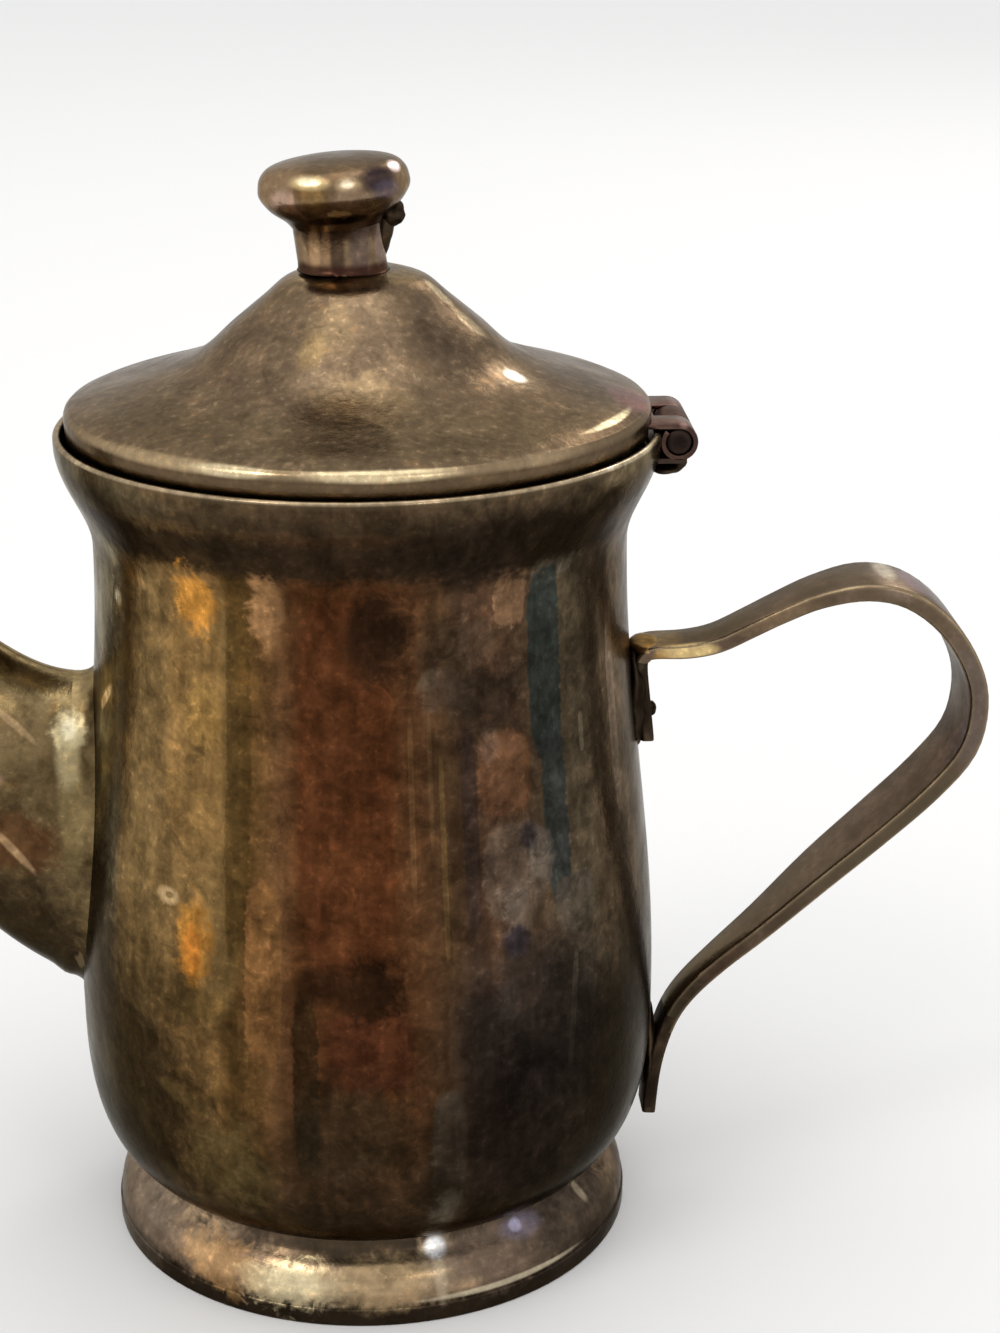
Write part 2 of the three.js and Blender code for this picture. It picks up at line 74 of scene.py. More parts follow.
def body_radius(height):
    """The outside of the body at any height: belly, taper or flare."""
    if height < BELLY_HEIGHT:
        share = (BELLY_HEIGHT - height) / (BELLY_HEIGHT - BOTTOM_HEIGHT)
        swell = max(0, 1 - share ** BELLY_POWER) ** (1 / BELLY_POWER)
        return BOTTOM_RADIUS + (BELLY_RADIUS - BOTTOM_RADIUS) * swell
    if height < WAIST_HEIGHT:
        share = (height - BELLY_HEIGHT) / (WAIST_HEIGHT - BELLY_HEIGHT)
        return BELLY_RADIUS + (WAIST_RADIUS - BELLY_RADIUS) * ease(share)
    share = min(1, (height - WAIST_HEIGHT) / (LIP_HEIGHT - WAIST_HEIGHT))
    return WAIST_RADIUS + (LIP_RADIUS - WAIST_RADIUS) * ease(share)


def between(low, high, steps):
    """Even steps from just after low up to high."""
    return [low + (high - low) * i / steps for i in range(1, steps + 1)]


def arc(radius, height, size, start, end, steps):
    """Points of a circle in a profile, from one angle in degrees to another."""
    turns = [math.radians(start + (end - start) * i / steps) for i in range(steps + 1)]
    return [(radius + size * math.cos(t), height + size * math.sin(t)) for t in turns]


def wall_inside(profile, wall):
    """The inner face of a wall: each point of its outer face moved square to the profile."""
    inside = []
    for i, (radius, height) in enumerate(profile):
        before = profile[max(i - 1, 0)]
        after = profile[min(i + 1, len(profile) - 1)]
        along = Vector((after[0] - before[0], after[1] - before[1])).normalized()
        inside.append((max(0, radius - along.y * wall), height + along.x * wall))
    return inside


def start_with(name):
    """Names the new primitive and opens it for editing with nothing selected."""
    piece = bpy.context.object
    piece.name = name
    piece.data.name = name
    bpy.ops.object.mode_set(mode="EDIT")
    bpy.ops.mesh.select_mode(type="EDGE")
    bpy.ops.mesh.select_all(action="DESELECT")
    return piece


def pick(piece):
    """Selects this piece alone for the next operators."""
    bpy.ops.object.select_all(action="DESELECT")
    piece.select_set(True)
    bpy.context.view_layer.objects.active = piece


def close_up(piece, crease=40):
    """Merges seams, turns the faces outwards, applies the placing and smooths all but sharp edges."""
    bpy.ops.mesh.select_all(action="SELECT")
    bpy.ops.mesh.remove_doubles(threshold=0.002 * MM)
    bpy.ops.mesh.normals_make_consistent(inside=False)
    bpy.ops.object.mode_set(mode="OBJECT")
    pick(piece)
    bpy.ops.object.transform_apply(location=True, rotation=True, scale=True)
    bpy.ops.object.shade_smooth_by_angle(angle=math.radians(crease))
    return piece


def turn(name, profile, sides=128, crease=40):
    """Lathe work: a disc or ring drawn out along a profile of radius and height."""
    profile = list(profile)
    fill = "NOTHING"
    if profile[0][0] == 0:
        profile.pop(0)
        fill = "TRIFAN"
    radius, height = profile.pop(0)
    bpy.ops.mesh.primitive_circle_add(
        vertices=sides, radius=radius, location=(0, 0, height), fill_type=fill)
    piece = start_with(name)
    bpy.ops.mesh.select_non_manifold()
    for next_radius, next_height in profile:
        bpy.ops.mesh.extrude_edges_move()
        bpy.ops.transform.translate(value=(0, 0, next_height - height))
        if next_radius == 0:
            bpy.ops.mesh.merge(type="CENTER")
            break
        grow = next_radius / radius
        bpy.ops.transform.resize(value=(grow, grow, 1), center_override=(0, 0, next_height))
        radius, height = next_radius, next_height
    return close_up(piece, crease)


def modify(piece, kind, **settings):
    """Adds a modifier, sets it and applies it."""
    bpy.context.view_layer.objects.active = piece
    modifier = piece.modifiers.new(kind.title(), kind)
    for key, value in settings.items():
        setattr(modifier, key, value)
    bpy.ops.object.modifier_apply(modifier=modifier.name)


def cut_away(piece, tool):
    """Cuts the tool's shape out of the piece and throws the tool away."""
    modify(piece, "BOOLEAN", object=tool, operation="DIFFERENCE", solver="EXACT")
    bpy.data.objects.remove(tool)


power = 2 / BELLY_POWER
belly = [
    (0, BOTTOM_HEIGHT), (BOTTOM_RADIUS * 0.5, BOTTOM_HEIGHT), (BOTTOM_RADIUS, BOTTOM_HEIGHT)]
for turned in between(0, math.pi / 2, 26):
    belly.append((
        BOTTOM_RADIUS + (BELLY_RADIUS - BOTTOM_RADIUS) * math.sin(turned) ** power,
        BELLY_HEIGHT - (BELLY_HEIGHT - BOTTOM_HEIGHT) * max(0, math.cos(turned)) ** power,
    ))
taper = [(body_radius(z), z) for z in between(BELLY_HEIGHT, WAIST_HEIGHT, 36)]
flare = [(body_radius(z), z) for z in between(WAIST_HEIGHT, LIP_HEIGHT, 16)]
body_outside = belly + taper + flare
rim = arc(LIP_RADIUS - BODY_WALL / 2, RIM_HEIGHT - BODY_WALL / 2, BODY_WALL / 2, 0, 180, 8)
body = turn("body", body_outside + rim + wall_inside(body_outside, BODY_WALL)[::-1])

PLATE_TOP = 93.8 * MM
NOTCH_WIDTH = 14.4 * MM
NOTCH_DEPTH = 10 * MM
bpy.ops.mesh.primitive_cube_add(
    size=1,
    location=(LIP_RADIUS, 0, PLATE_TOP + NOTCH_DEPTH / 2),
    scale=(NOTCH_DEPTH, NOTCH_WIDTH, NOTCH_DEPTH))
cut_away(body, bpy.context.object)
POUR_HEIGHT = 48.25 * MM
POUR_HALF_HEIGHT = 12.5 * MM
POUR_HALF_WIDTH = 6 * MM
POUR_CUT_DEPTH = 10 * MM
bpy.ops.mesh.primitive_cylinder_add(
    vertices=48, radius=1, depth=1,
    location=(-BELLY_RADIUS, 0, POUR_HEIGHT),
    rotation=(0, math.pi / 2, 0),
    scale=(POUR_HALF_HEIGHT, POUR_HALF_WIDTH, POUR_CUT_DEPTH))
cut_away(body, bpy.context.object)
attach(body, "pot")
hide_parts("body_shell")


def linear(hex_colour):
    """A colour as it is written, turned into the linear values that the shader works in."""
    parts = [int(hex_colour[i:i + 2], 16) / 255 for i in (0, 2, 4)]
    return [p / 12.92 if p <= 0.04045 else ((p + 0.055) / 1.055) ** 2.4 for p in parts] + [1]


def node(tree, kind, inputs=(), stops=(), **settings):
    """Adds a node with its settings, and fills its inputs with values, links or other nodes."""
    made = tree.nodes.new("ShaderNode" + kind)
    for key, value in settings.items():
        setattr(made, key, value)
    sockets = [socket for socket in made.inputs if socket.enabled]
    for key, value in dict(inputs).items():
        socket = next(s for i, s in enumerate(sockets) if key in (i, s.name))
        if isinstance(value, bpy.types.Node):
            value = next(s for s in value.outputs if s.enabled)
        if isinstance(value, bpy.types.NodeSocket):
            tree.links.new(value, socket)
        else:
            socket.default_value = value
    while stops and len(made.color_ramp.elements) < len(stops):
        made.color_ramp.elements.new(0.5)
    for element, (place, colour) in zip(made.color_ramp.elements if stops else (), stops):
        element.position = place
        element.color = linear(colour)
    return made


def round_the_axis(tree, place):
    """Spots are placed by degrees from the front, distance from the axis, and height."""
    axes = node(tree, "SeparateXYZ", {0: place})
    x, y, z = axes.outputs
    towards_front = node(tree, "Math", {0: y, 1: -1}, operation="MULTIPLY")
    angle = node(tree, "Math", {0: x, 1: towards_front}, operation="ARCTAN2")
    degrees = node(tree, "Math", {0: angle}, operation="DEGREES")
    flat = node(tree, "CombineXYZ", {"X": x, "Y": y})
    distance = node(tree, "VectorMath", {0: flat}, operation="LENGTH")
    return node(tree, "CombineXYZ", {"X": degrees, "Y": distance.outputs["Value"], "Z": z})


def tarnished(
    name, tone, placed, spots=(), bands=(), roughness=0.24, mottle=(0.2, 0.1, 0.1), grain=(1, 1, 1),
    flecks=0.3, worn="b09a78",
):
    """
    Old plated metal, tarnished for years and rubbed by use. To the eye it is a brown mirror whose
    reflections are broken up by blotches, patches, specks, crinkles and shallow dents. The tone is
    three tints, from thick tarnish to thin, or a row of degrees and tints round the axis, which can
    paint reflections. Bands and spots paint reflections, highlights and shade into the colour as well
    as tarnish, and each has a middle, a reach, a tint, a cover and perhaps a lean in degrees. Mottle is
    how much the blotches, specks and streaks change the tone, grain stretches the streaks, flecks is
    how much soot and gold lies in the patches, and worn is the tone of the rubbed edges.
    """
    material = bpy.data.materials.new(name)
    material.use_nodes = True
    tree = material.node_tree
    shader = tree.nodes["Principled BSDF"]
    object_place = node(tree, "TexCoord").outputs["Object"]
    place = node(tree, "VectorMath", {0: object_place, "Scale": 1000}, operation="SCALE")

    # Noise scales are counts in a millimetre: blotches are about 6 mm across, patches 3 mm and specks
    # 1 mm. Spinning and running tarnish leave hairlines, drawn 1.4 mm wide here so that they show.
    blotches = node(tree, "TexNoise", {"Vector": place, "Scale": 0.17, "Detail": 6, "Roughness": 0.62})
    fine = node(tree, "TexNoise", {"Vector": place, "Scale": 1.1, "Detail": 3, "Roughness": 0.6})
    patches = node(
        tree, "TexNoise",
        {"Vector": place, "Scale": 0.36, "Detail": 5, "Roughness": 0.66, "Distortion": 0.8})
    drawn = node(tree, "Mapping", {"Vector": place, "Scale": grain})
    streaks = node(tree, "TexNoise", {"Vector": drawn, "Scale": 0.7, "Detail": 2, "Roughness": 0.5})

    # Tone, then the bands and spots in their places. Marks under 2.5 mm keep crisp edges. Fine noise
    # shifts bands and marks under 3.5 mm by about a millimetre, so that their edges are ragged, and the
    # patches shift larger spots by a few millimetres more, so that theirs are torn. A soft edge takes
    # up a quarter of a band's reach and about half of a spot's.
    crisp_below, ragged_below, ragged_by, torn_by = 2.5, 3.5, 2.4, 9
    crisp = placed(tree, place)
    middle_grey = (0.5, 0.5, 0.5)
    ragged = node(tree, "VectorMath", {0: fine.outputs["Color"], 1: middle_grey}, operation="SUBTRACT")
    ragged = node(tree, "VectorMath", {0: ragged, "Scale": ragged_by}, operation="SCALE")
    ragged = node(tree, "VectorMath", {0: ragged, 1: crisp}, operation="ADD")
    torn = node(tree, "VectorMath", {0: patches.outputs["Color"], 1: middle_grey}, operation="SUBTRACT")
    torn = node(tree, "VectorMath", {0: torn, "Scale": torn_by}, operation="SCALE")
    torn = node(tree, "VectorMath", {0: torn, 1: ragged}, operation="ADD")
    if len(tone) == 3:
        colour = node(tree, "ValToRGB", {0: blotches}, list(zip((0.3, 0.5, 0.7), tone)))
    else:
        turned = node(tree, "SeparateXYZ", {0: ragged})
        turned = node(tree, "MapRange", {"Value": turned, "From Min": -180, "From Max": 180})
        stops = [((angle + 180) / 360, tint) for angle, tint in tone]
        colour = node(tree, "ValToRGB", {0: turned}, stops)
    for marks, soft_edge in ((bands, 0.25), (spots, 0.55)):
        for middle, reach, tint, cover, *lean in marks:
            lies = torn
            if marks is bands or min(reach) < ragged_below:
                lies = ragged
            if min(reach) < crisp_below:
                lies = crisp
            turn_by = (0, math.radians(sum(lean)), 0)
            near = node(
                tree, "Mapping",
                {"Vector": lies, "Location": middle, "Rotation": turn_by, "Scale": reach},
                vector_type="TEXTURE")
            if marks is bands:
                near = node(tree, "VectorMath", {0: near, 1: near}, operation="MULTIPLY")
            near = node(tree, "TexGradient", {0: near}, gradient_type="SPHERICAL")
            near = node(
                tree, "MapRange", {"Value": near, "From Max": soft_edge, "To Max": cover},
                interpolation_type="SMOOTHSTEP")
            colour = node(
                tree, "Mix", {"Factor": near, "A": colour, "B": linear(tint)}, data_type="RGBA")

    # Crinkles in the plate are thin lines, about 3 mm apart, where a curling pattern crosses its
    # middle. They are fewer where the tarnish is thick.
    curls = node(
        tree, "TexNoise",
        {"Vector": place, "Scale": 0.33, "Detail": 3, "Roughness": 0.55, "Distortion": 1.2})
    crinkle = node(tree, "Math", {0: curls, 1: 0.5}, operation="SUBTRACT")
    crinkle = node(tree, "Math", {0: crinkle}, operation="ABSOLUTE")
    crinkle = node(tree, "Math", {0: crinkle, 1: 6, 2: blotches}, operation="MULTIPLY_ADD")

    # Blotches, patches, specks and streaks darken and lighten it. Crinkles and the highest specks only
    # lighten it.
    blotch_share, speck_share, streak_share = mottle
    for pattern, dark, light, down, up in (
        (blotches, 0.38, 0.62, blotch_share, blotch_share),
        (patches, 0.36, 0.64, blotch_share * 0.7, blotch_share * 0.7),
        (fine, 0.4, 0.6, speck_share, speck_share),
        (streaks, 0.4, 0.6, streak_share, streak_share),
        (crinkle, 0.52, 0.42, 0, speck_share * 1.6),
        (fine, 0.6, 0.7, 0, speck_share * 4),
    ):
        level = node(
            tree, "MapRange",
            {"Value": pattern, "From Min": dark, "From Max": light, "To Min": 1 - down,
             "To Max": 1 + up})
        colour = node(tree, "VectorMath", {0: colour, "Scale": level}, operation="SCALE")

    # Soot lies in the low patches. Gold shines through the high ones and only lightens what is there.
    # Edges, where the shape is sharpest, are rubbed to the worn tone.
    edge = node(tree, "NewGeometry").outputs["Pointiness"]
    for pattern, start, full, cover, tint, how in (
        (patches, 0.43, 0.3, flecks * 2, "1f160c", "MIX"),
        (patches, 0.56, 0.74, flecks * 4, "b8955c", "DODGE"),
        (edge, 0.51, 0.57, 0.6, worn, "MIX"),
    ):
        cover = node(
            tree, "MapRange",
            {"Value": pattern, "From Min": start, "From Max": full, "To Min": 0, "To Max": cover})
        colour = node(
            tree, "Mix", {"Factor": cover, "A": colour, "B": linear(tint)}, data_type="RGBA",
            blend_type=how)
    tree.links.new(colour.outputs[2], shader.inputs["Base Color"])

    # Tarnish is duller where it is thick, and keeps its tone at a grazing angle. The dents are a
    # quarter of a millimetre deep at most.
    dull = node(
        tree, "MapRange",
        {"Value": blotches, "From Min": 0.3, "From Max": 0.7, "To Min": roughness + 0.1,
         "To Max": roughness - 0.06})
    tree.links.new(dull.outputs["Result"], shader.inputs["Roughness"])
    shader.inputs["Metallic"].default_value = 1
    shader.inputs["Specular Tint"].default_value = linear("c8c5c0")
    dents = node(tree, "Math", {0: fine, 1: 0.12, 2: blotches}, operation="MULTIPLY_ADD")
    bump = node(tree, "Bump", {"Height": dents, "Strength": 0.5, "Distance": 0.25 * MM})
    tree.links.new(bump.outputs["Normal"], shader.inputs["Normal"])
    return material


# The body's tone round the axis is painted reflections, set as upright panes and streaks: golden and
# olive on the left, red-brown in front and violet-black on the right. Angles run from the front to the
# right, in degrees.
body_painted_reflections = [
    (-180, "4c3d2b"), (-150, "382c1f"), (-120, "524330"), (-80, "64553f"), (-70, "8f8468"),
    (-61, "8f8468"), (-57, "6b5535"), (-48, "7b6341"), (-40, "8a6a42"), (-29, "6d5230"),
    (-27.5, "453219"), (-24, "4e391f"), (-22, "5f4526"), (-17, "60432a"), (-13, "4d301b"),
    (4, "4f301b"), (16, "4a3624"), (20, "3a2b20"), (24, "503a2a"), (46, "4a4031"), (56, "4a3d2f"),
    (66, "5a4b3b"), (80, "3a2f23"), (120, "4a3b29"), (180, "4c3d2b"),
]
body_painted_reflection_panes = [
    # Left: olive and golden panes of painted reflection, with tan, red-brown and black ones in front
    ((-39, 31, 62), (15.5, 60, 27), "6f5936", 0.6),
    ((-36, 31, 70), (7.5, 60, 14), "84653a", 0.4),
    ((-25.5, 31, 68), (2.8, 60, 24), "4d391d", 0.8),
    ((-20, 33, 44.5), (3.9, 60, 11), "714f2e", 0.8),
    ((-12, 33, 31.5), (2.5, 60, 12), "2a1f12", 0.75),
    ((-4, 31, 66), (10, 60, 22), "522e1a", 0.6),
    ((0, 33, 36), (8.6, 60, 5), "4a281a", 0.6),
    ((8.8, 31, 63), (0.6, 60, 11), "64492e", 0.45),
    ((12.6, 31, 66), (0.5, 60, 8), "5f492f", 0.4),
    ((14.8, 31, 57), (0.6, 60, 12), "66502f", 0.45),
    ((20.4, 31, 60), (1.7, 60, 12), "2f2622", 0.6),
    # Right: pale, orange-brown and grey panes of painted reflection beside a blue-green one
    ((30.6, 30.5, 85), (4, 60, 3.6), "795c43", 0.75),
    ((28.3, 31, 65.6), (6.4, 60, 5), "664630", 0.75),
    ((29.5, 32, 54.6), (7.4, 60, 5.6), "5d5044", 0.5),
    ((41, 30.5, 87.6), (6.2, 60, 1.6), "62594b", 0.7),
    ((39.2, 30.5, 77), (4.6, 60, 11.4), "2e312d", 0.97),
    ((40.3, 31, 60), (3.4, 60, 11), "333532", 0.95),
    ((44, 32, 49), (6, 60, 3.4), "554c41", 0.6),
    ((42, 33, 36.4), (0.8, 60, 7.4), "8b7f68", 0.9, 10),
    ((62.5, 31, 68), (2, 60, 13), "7b6a5a", 0.7),
    ((49.3, 31, 67.5), (0.8, 60, 2.4), "7d705b", 0.5),
    ((14.5, 33, 22), (3.6, 60, 9), "4f473c", 0.6),
]
body_marks_and_painted_light = [
    # The lip, a painted highlight along its rim, and painted shade in the hollow below it and at the
    # foot of the belly
    ((0, 33, 96), (900, 60, 3.4), "413628", 0.8),
    ((62, 34, 95.6), (16, 60, 3), "7a6b52", 0.7),
    ((-50, 34, 95), (20, 60, 2.6), "665a42", 0.6),
    ((0, 33.5, 97.5), (900, 60, 0.6), "a8957a", 0.85),
    ((70, 33.5, 97.5), (40, 60, 0.7), "cfc0a6", 0.85),
    ((0, 31, 93), (900, 60, 3.4), "2f2519", 0.6),
    ((0, 31, 90.5), (900, 60, 3.4), "291f15", 0.92),
    ((26, 31, 91), (30, 60, 6), "1d1610", 0.8),
    ((-4, 33, 26), (16, 60, 9), "30271a", 0.75),
    ((0, 24, 5), (900, 60, 26), "30271b", 0.8),
    # Left: painted reflections, gold and orange, a pale edge with painted white glints, and painted
    # shade on the belly
    ((-48, 33, 36), (26, 60, 15), "45341d", 0.6),
    ((-56, 33, 26), (30, 60, 18), "1f170d", 0.85),
    ((-68, 33, 42), (16, 60, 17), "30251a", 0.9),
    ((-28, 33, 20), (12, 60, 7), "5c4c2d", 0.6),
    ((-37, 33, 27.5), (9, 60, 1.4), "5d4c2c", 0.5, 8),
    ((-33, 33, 39), (8, 60, 1.6), "7a6036", 0.5, -14),
    ((-35.2, 30, 84.6), (6.4, 60, 4.4), "c0853a", 0.9),
    ((-19.5, 30, 84.5), (4.4, 60, 5.6), "8f6b47", 0.85),
    ((-35, 33, 46.4), (5.6, 60, 6.6), "a4702e", 0.75),
    ((-35.2, 33, 45.4), (3, 60, 4), "c4782e", 0.5),
    ((-33, 31, 72), (6, 60, 4), "a98449", 0.5),
    ((-41.5, 33, 51), (3.6, 60, 1.3), "d8b684", 0.8),
    ((-41, 33, 51.1), (1.5, 60, 0.5), "5a4628", 0.7),
    ((-74, 30, 83), (7, 60, 19), "8e836b", 0.9),
    ((-66, 30.3, 82), (7, 60, 10), "5c513c", 0.8),
    ((-67.5, 31, 69.5), (4.4, 60, 1), "fff8ec", 1, -28),
    ((-69.5, 31, 68.5), (2, 60, 1), "f6e6c8", 0.9, -28),
    ((-60.6, 30.3, 82), (2, 60, 1.2), "d8d0b8", 0.9),
    # Front: black blotches and paler marks, painted reflections
    ((3, 30, 82), (9, 60, 7), "21170f", 0.8),
    ((0, 33, 43), (9, 60, 5), "1f130b", 0.85),
    ((-9, 33, 44), (6, 60, 3), "2a1a10", 0.7),
    ((24, 30, 74.5), (13, 60, 4.4), "2d241c", 0.8),
    ((15, 30, 80), (6, 60, 4), "3e3124", 0.6),
    ((13, 30, 77), (3, 60, 1.6), "6b5a46", 0.6, -12),
    ((30, 31, 71.8), (5, 60, 3.6), "2c2018", 0.6),
    ((15, 31, 75.6), (6, 60, 3.6), "4f4034", 0.5),
    ((22, 30, 81), (6, 60, 3.6), "5a4838", 0.5),
    ((25, 31, 69), (3, 60, 2.6), "7d6857", 0.3),
    ((35.6, 32, 55.5), (4, 60, 4.4), "786c60", 0.5),
    ((29, 32, 51), (5, 60, 3.6), "6e6156", 0.45),
    ((27, 33, 38.5), (4, 60, 5), "51483f", 0.5),
    ((29, 33, 46.5), (4, 60, 2.6), "2a2730", 0.8),
    ((33, 32, 58), (3, 60, 2), "2c2b33", 0.6),
    # Right: violet-black belly, painted shade
    ((34, 33, 36), (26, 60, 15), "29231f", 0.85),
    ((44, 33, 24), (40, 60, 20), "171210", 0.85),
    ((64, 33, 27), (20, 60, 22), "15110d", 0.85),
    ((14, 33, 14), (4, 60, 5), "574f43", 0.5),
]
body.data.materials.append(tarnished(
    "silver_plate_painted_reflections", body_painted_reflections, round_the_axis, body_marks_and_painted_light, body_painted_reflection_panes,
    mottle=(0.34, 0.1, 0.12), grain=(1, 1, 0.12), flecks=0.11, worn="9b8867"))

# Foot
# A ring spun from the same plated sheet and soft-soldered under the body. Its skirt swells out to a
# narrow upright band, and the solder fills the groove below the belly.
FOOT_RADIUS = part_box("foot_ring")[1].y
FOOT_WALL = 0.9 * MM
FOOT_BAND = 2.1 * MM
RING_INSIDE = 16 * MM
ring_top = BOTTOM_HEIGHT - 0.02 * MM

# The solder below the body, and its fillet in the groove
solder = [(RING_INSIDE, ring_top), (BOTTOM_RADIUS, ring_top)]
solder += [(radius * MM, height * MM) for radius, height in (
    (24, 8.05), (27.4, 8.92), (27.45, 8.6), (27.52, 8.16), (27.75, 7.71), (28.12, 7.27), (28.64, 6.82))]

# One bulging curve from the solder down to the band, given by the radius and then the height of its
# start, the point that it is pulled towards, and its end
skirt = []
for share in between(0.1, 1, 16):
    rest = 1 - share
    skirt.append([
        (start * rest ** 2 + 2 * pull * rest * share + end * share ** 2) * MM
        for start, pull, end in ((28.15, 30.7, 30.8), (7.15, 5.6, 2.3))])
edge_round = 0.25 * MM
skirt_wall_across = 0.75 * MM
skirt_wall_down = 0.55 * MM
band = arc(FOOT_RADIUS - edge_round, FOOT_BAND - edge_round, edge_round, 70, 0, 4)
band += arc(FOOT_RADIUS - edge_round, edge_round, edge_round, 0, -90, 4)
stand = FOOT_RADIUS - 1.2 * MM
under = [(stand, 0), (stand, FOOT_BAND)]
under += [(radius - skirt_wall_across, height - skirt_wall_down) for radius, height in skirt[::-1]]
under += [(25 * MM, 6.5 * MM), (RING_INSIDE, BOTTOM_HEIGHT - FOOT_WALL)]
foot_profile = solder + skirt + band + under
foot = turn("foot", foot_profile + foot_profile[:1])
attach(foot, "pot")
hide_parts("foot_ring")

# Hands and tables have rubbed the foot, so to the eye it is paler and pinker than the body. It has
# painted highlights, small bright glints with soft glows, violet in its hollow, and painted shade along
# both edges and at its right end.
foot_marks_and_painted_light = [
    ((6, 27.4, 7.8), (44, 2.4, 60), "2b2218", 0.85),
    ((0, 24, 8.6), (900, 5.2, 60), "40362b", 0.85),
    ((0, 32, 0.4), (900, 60, 3.2), "1a140e", 0.95),
    ((-72, 30, 5), (26, 8, 8), "6e6155", 0.7),
    ((-36, 30.2, 4.8), (15, 4, 4), "b98f5e", 0.6),
    ((-18, 30.6, 4.3), (16, 3.6, 3.6), "e8d5a8", 0.55),
    ((-18, 30.4, 4.4), (8, 2.6, 2.6), "f3e2b8", 0.5),
    ((2, 29.6, 4.6), (16, 3.4, 4), "b0966f", 0.6),
    ((14.4, 28.6, 6.2), (7, 4, 4), "a39076", 0.7),
    ((14.4, 29.4, 5), (2, 5, 4), "c2af92", 0.6),
    ((14.4, 27.7, 7.4), (3.4, 1.7, 2), "ffffff", 1.0),
    ((28, 29, 6), (18, 6, 5), "66564a", 0.7),
    ((57, 28, 5), (30, 9, 9), "2b2521", 0.85),
    ((37, 27.8, 7), (8, 2, 2.4), "6d6676", 0.5),
    ((35.6, 27.7, 7.3), (2.4, 1, 1.4), "a6a0b8", 0.6),
    ((30, 30.7, 2.7), (26, 0.4, 0.5), "e0d2b4", 0.7),
    ((59, 28.2, 6.6), (1.8, 1.8, 2.4), "8d7f6a", 0.7),
    ((88, 29, 5), (12, 8, 8), "54463e", 0.6),
]
foot.data.materials.append(tarnished(
    "rubbed_foot_plate_painted_light", ("6d5c4c", "8c7660", "a68c6c"), round_the_axis, foot_marks_and_painted_light,
    mottle=(0.14, 0.08, 0.1), grain=(0.1, 0.1, 1), flecks=0.14, worn="4a3e30"))

# Spout
# Two halves pressed from sheet and soldered along the middle plane into one curved, tapering tube.
# Its root is flared with solder onto the body's wall, and its mouth is cut off level with the rim.
SPOUT_WALL = 0.8 * MM
CUT_EDGE_ROUND = 0.12 * MM

# How far the upper and the lower edge reach beyond the belly, and their heights, in millimetres
spout_top = [
    (-6, 67.9), (-1, 68.2), (3, 69.3), (7, 71.6), (11, 74.9), (15, 78.9),
    (19, 83.4), (22.5, 87.7), (25.7, 91.8), (28.6, 95.4),
]
spout_bottom = [
    (-6, 29.6), (0.5, 30.7), (6, 33.6), (12, 38.8), (18, 45.5), (23.5, 53.6),
    (28, 63.3), (31.8, 74), (35, 84), (38.4, 92.4),
]
spout_half_widths = [10.2, 9.6, 8.6, 8, 7.2, 6.4, 5.7, 5.2, 4.9, 4.7]


def smooth_line(points, steps):
    """A smooth line through all the points, with a number of steps from each to the next."""
    line = []
    for i in range(len(points) - 1):
        a = points[max(i - 1, 0)]
        b = points[i]
        c = points[i + 1]
        d = points[min(i + 2, len(points) - 1)]
        for k in range(steps):
            t = k / steps
            line.append([
                q + 0.5 * t * (r - p + t * (2 * p - 5 * q + 4 * r - s + t * (3 * q - p - 3 * r + s)))
                for p, q, r, s in zip(a, b, c, d)])
    line.append(list(points[-1]))
    return line


def draw_out(stations, extrude):
    """Draws the selected end on from station to station: x, z, tilt, height and width of each."""
    for before, after in zip(stations, stations[1:]):
        x, z, tilt, high, wide = before
        next_x, next_z, next_tilt, next_high, next_wide = after
        extrude()
        bpy.ops.transform.rotate(value=tilt, orient_axis="Y", center_override=(x, 0, z))
        bpy.ops.transform.resize(
            value=(1, next_wide / wide, next_high / high), center_override=(x, 0, z))
        bpy.ops.transform.rotate(value=-next_tilt, orient_axis="Y", center_override=(x, 0, z))
        bpy.ops.transform.translate(value=(next_x - x, 0, next_z - z))


outline = [
    (*top, *bottom, wide)
    for top, bottom, wide in zip(spout_top, spout_bottom, spout_half_widths)]
STEPS_INSIDE_FLARE = 6
spout_stations = []
for top_out, top_z, bottom_out, bottom_z, wide in smooth_line(outline, 4)[STEPS_INSIDE_FLARE:]:
    rise = Vector((bottom_out - top_out, top_z - bottom_z)) / 2
    spout_stations.append((
        -BELLY_RADIUS - (top_out + bottom_out) / 2 * MM,
        (top_z + bottom_z) / 2 * MM,
        math.atan2(rise.x, rise.y),
        rise.length * MM,
        wide * MM,
    ))
spout_stations.reverse()
mouth_x, mouth_z, mouth_tilt, mouth_high, mouth_wide = spout_stations[0]
bpy.ops.mesh.primitive_circle_add(
    vertices=48, radius=mouth_high, location=(mouth_x, 0, mouth_z), rotation=(0, math.pi / 2, 0))
spout = start_with("spout_left")
bpy.ops.mesh.select_all(action="SELECT")
bpy.ops.transform.resize(
    value=(1, mouth_wide / mouth_high, 1), center_override=(mouth_x, 0, mouth_z))
bpy.ops.transform.rotate(
    value=-mouth_tilt, orient_axis="Y", center_override=(mouth_x, 0, mouth_z))
draw_out(spout_stations, bpy.ops.mesh.extrude_edges_move)

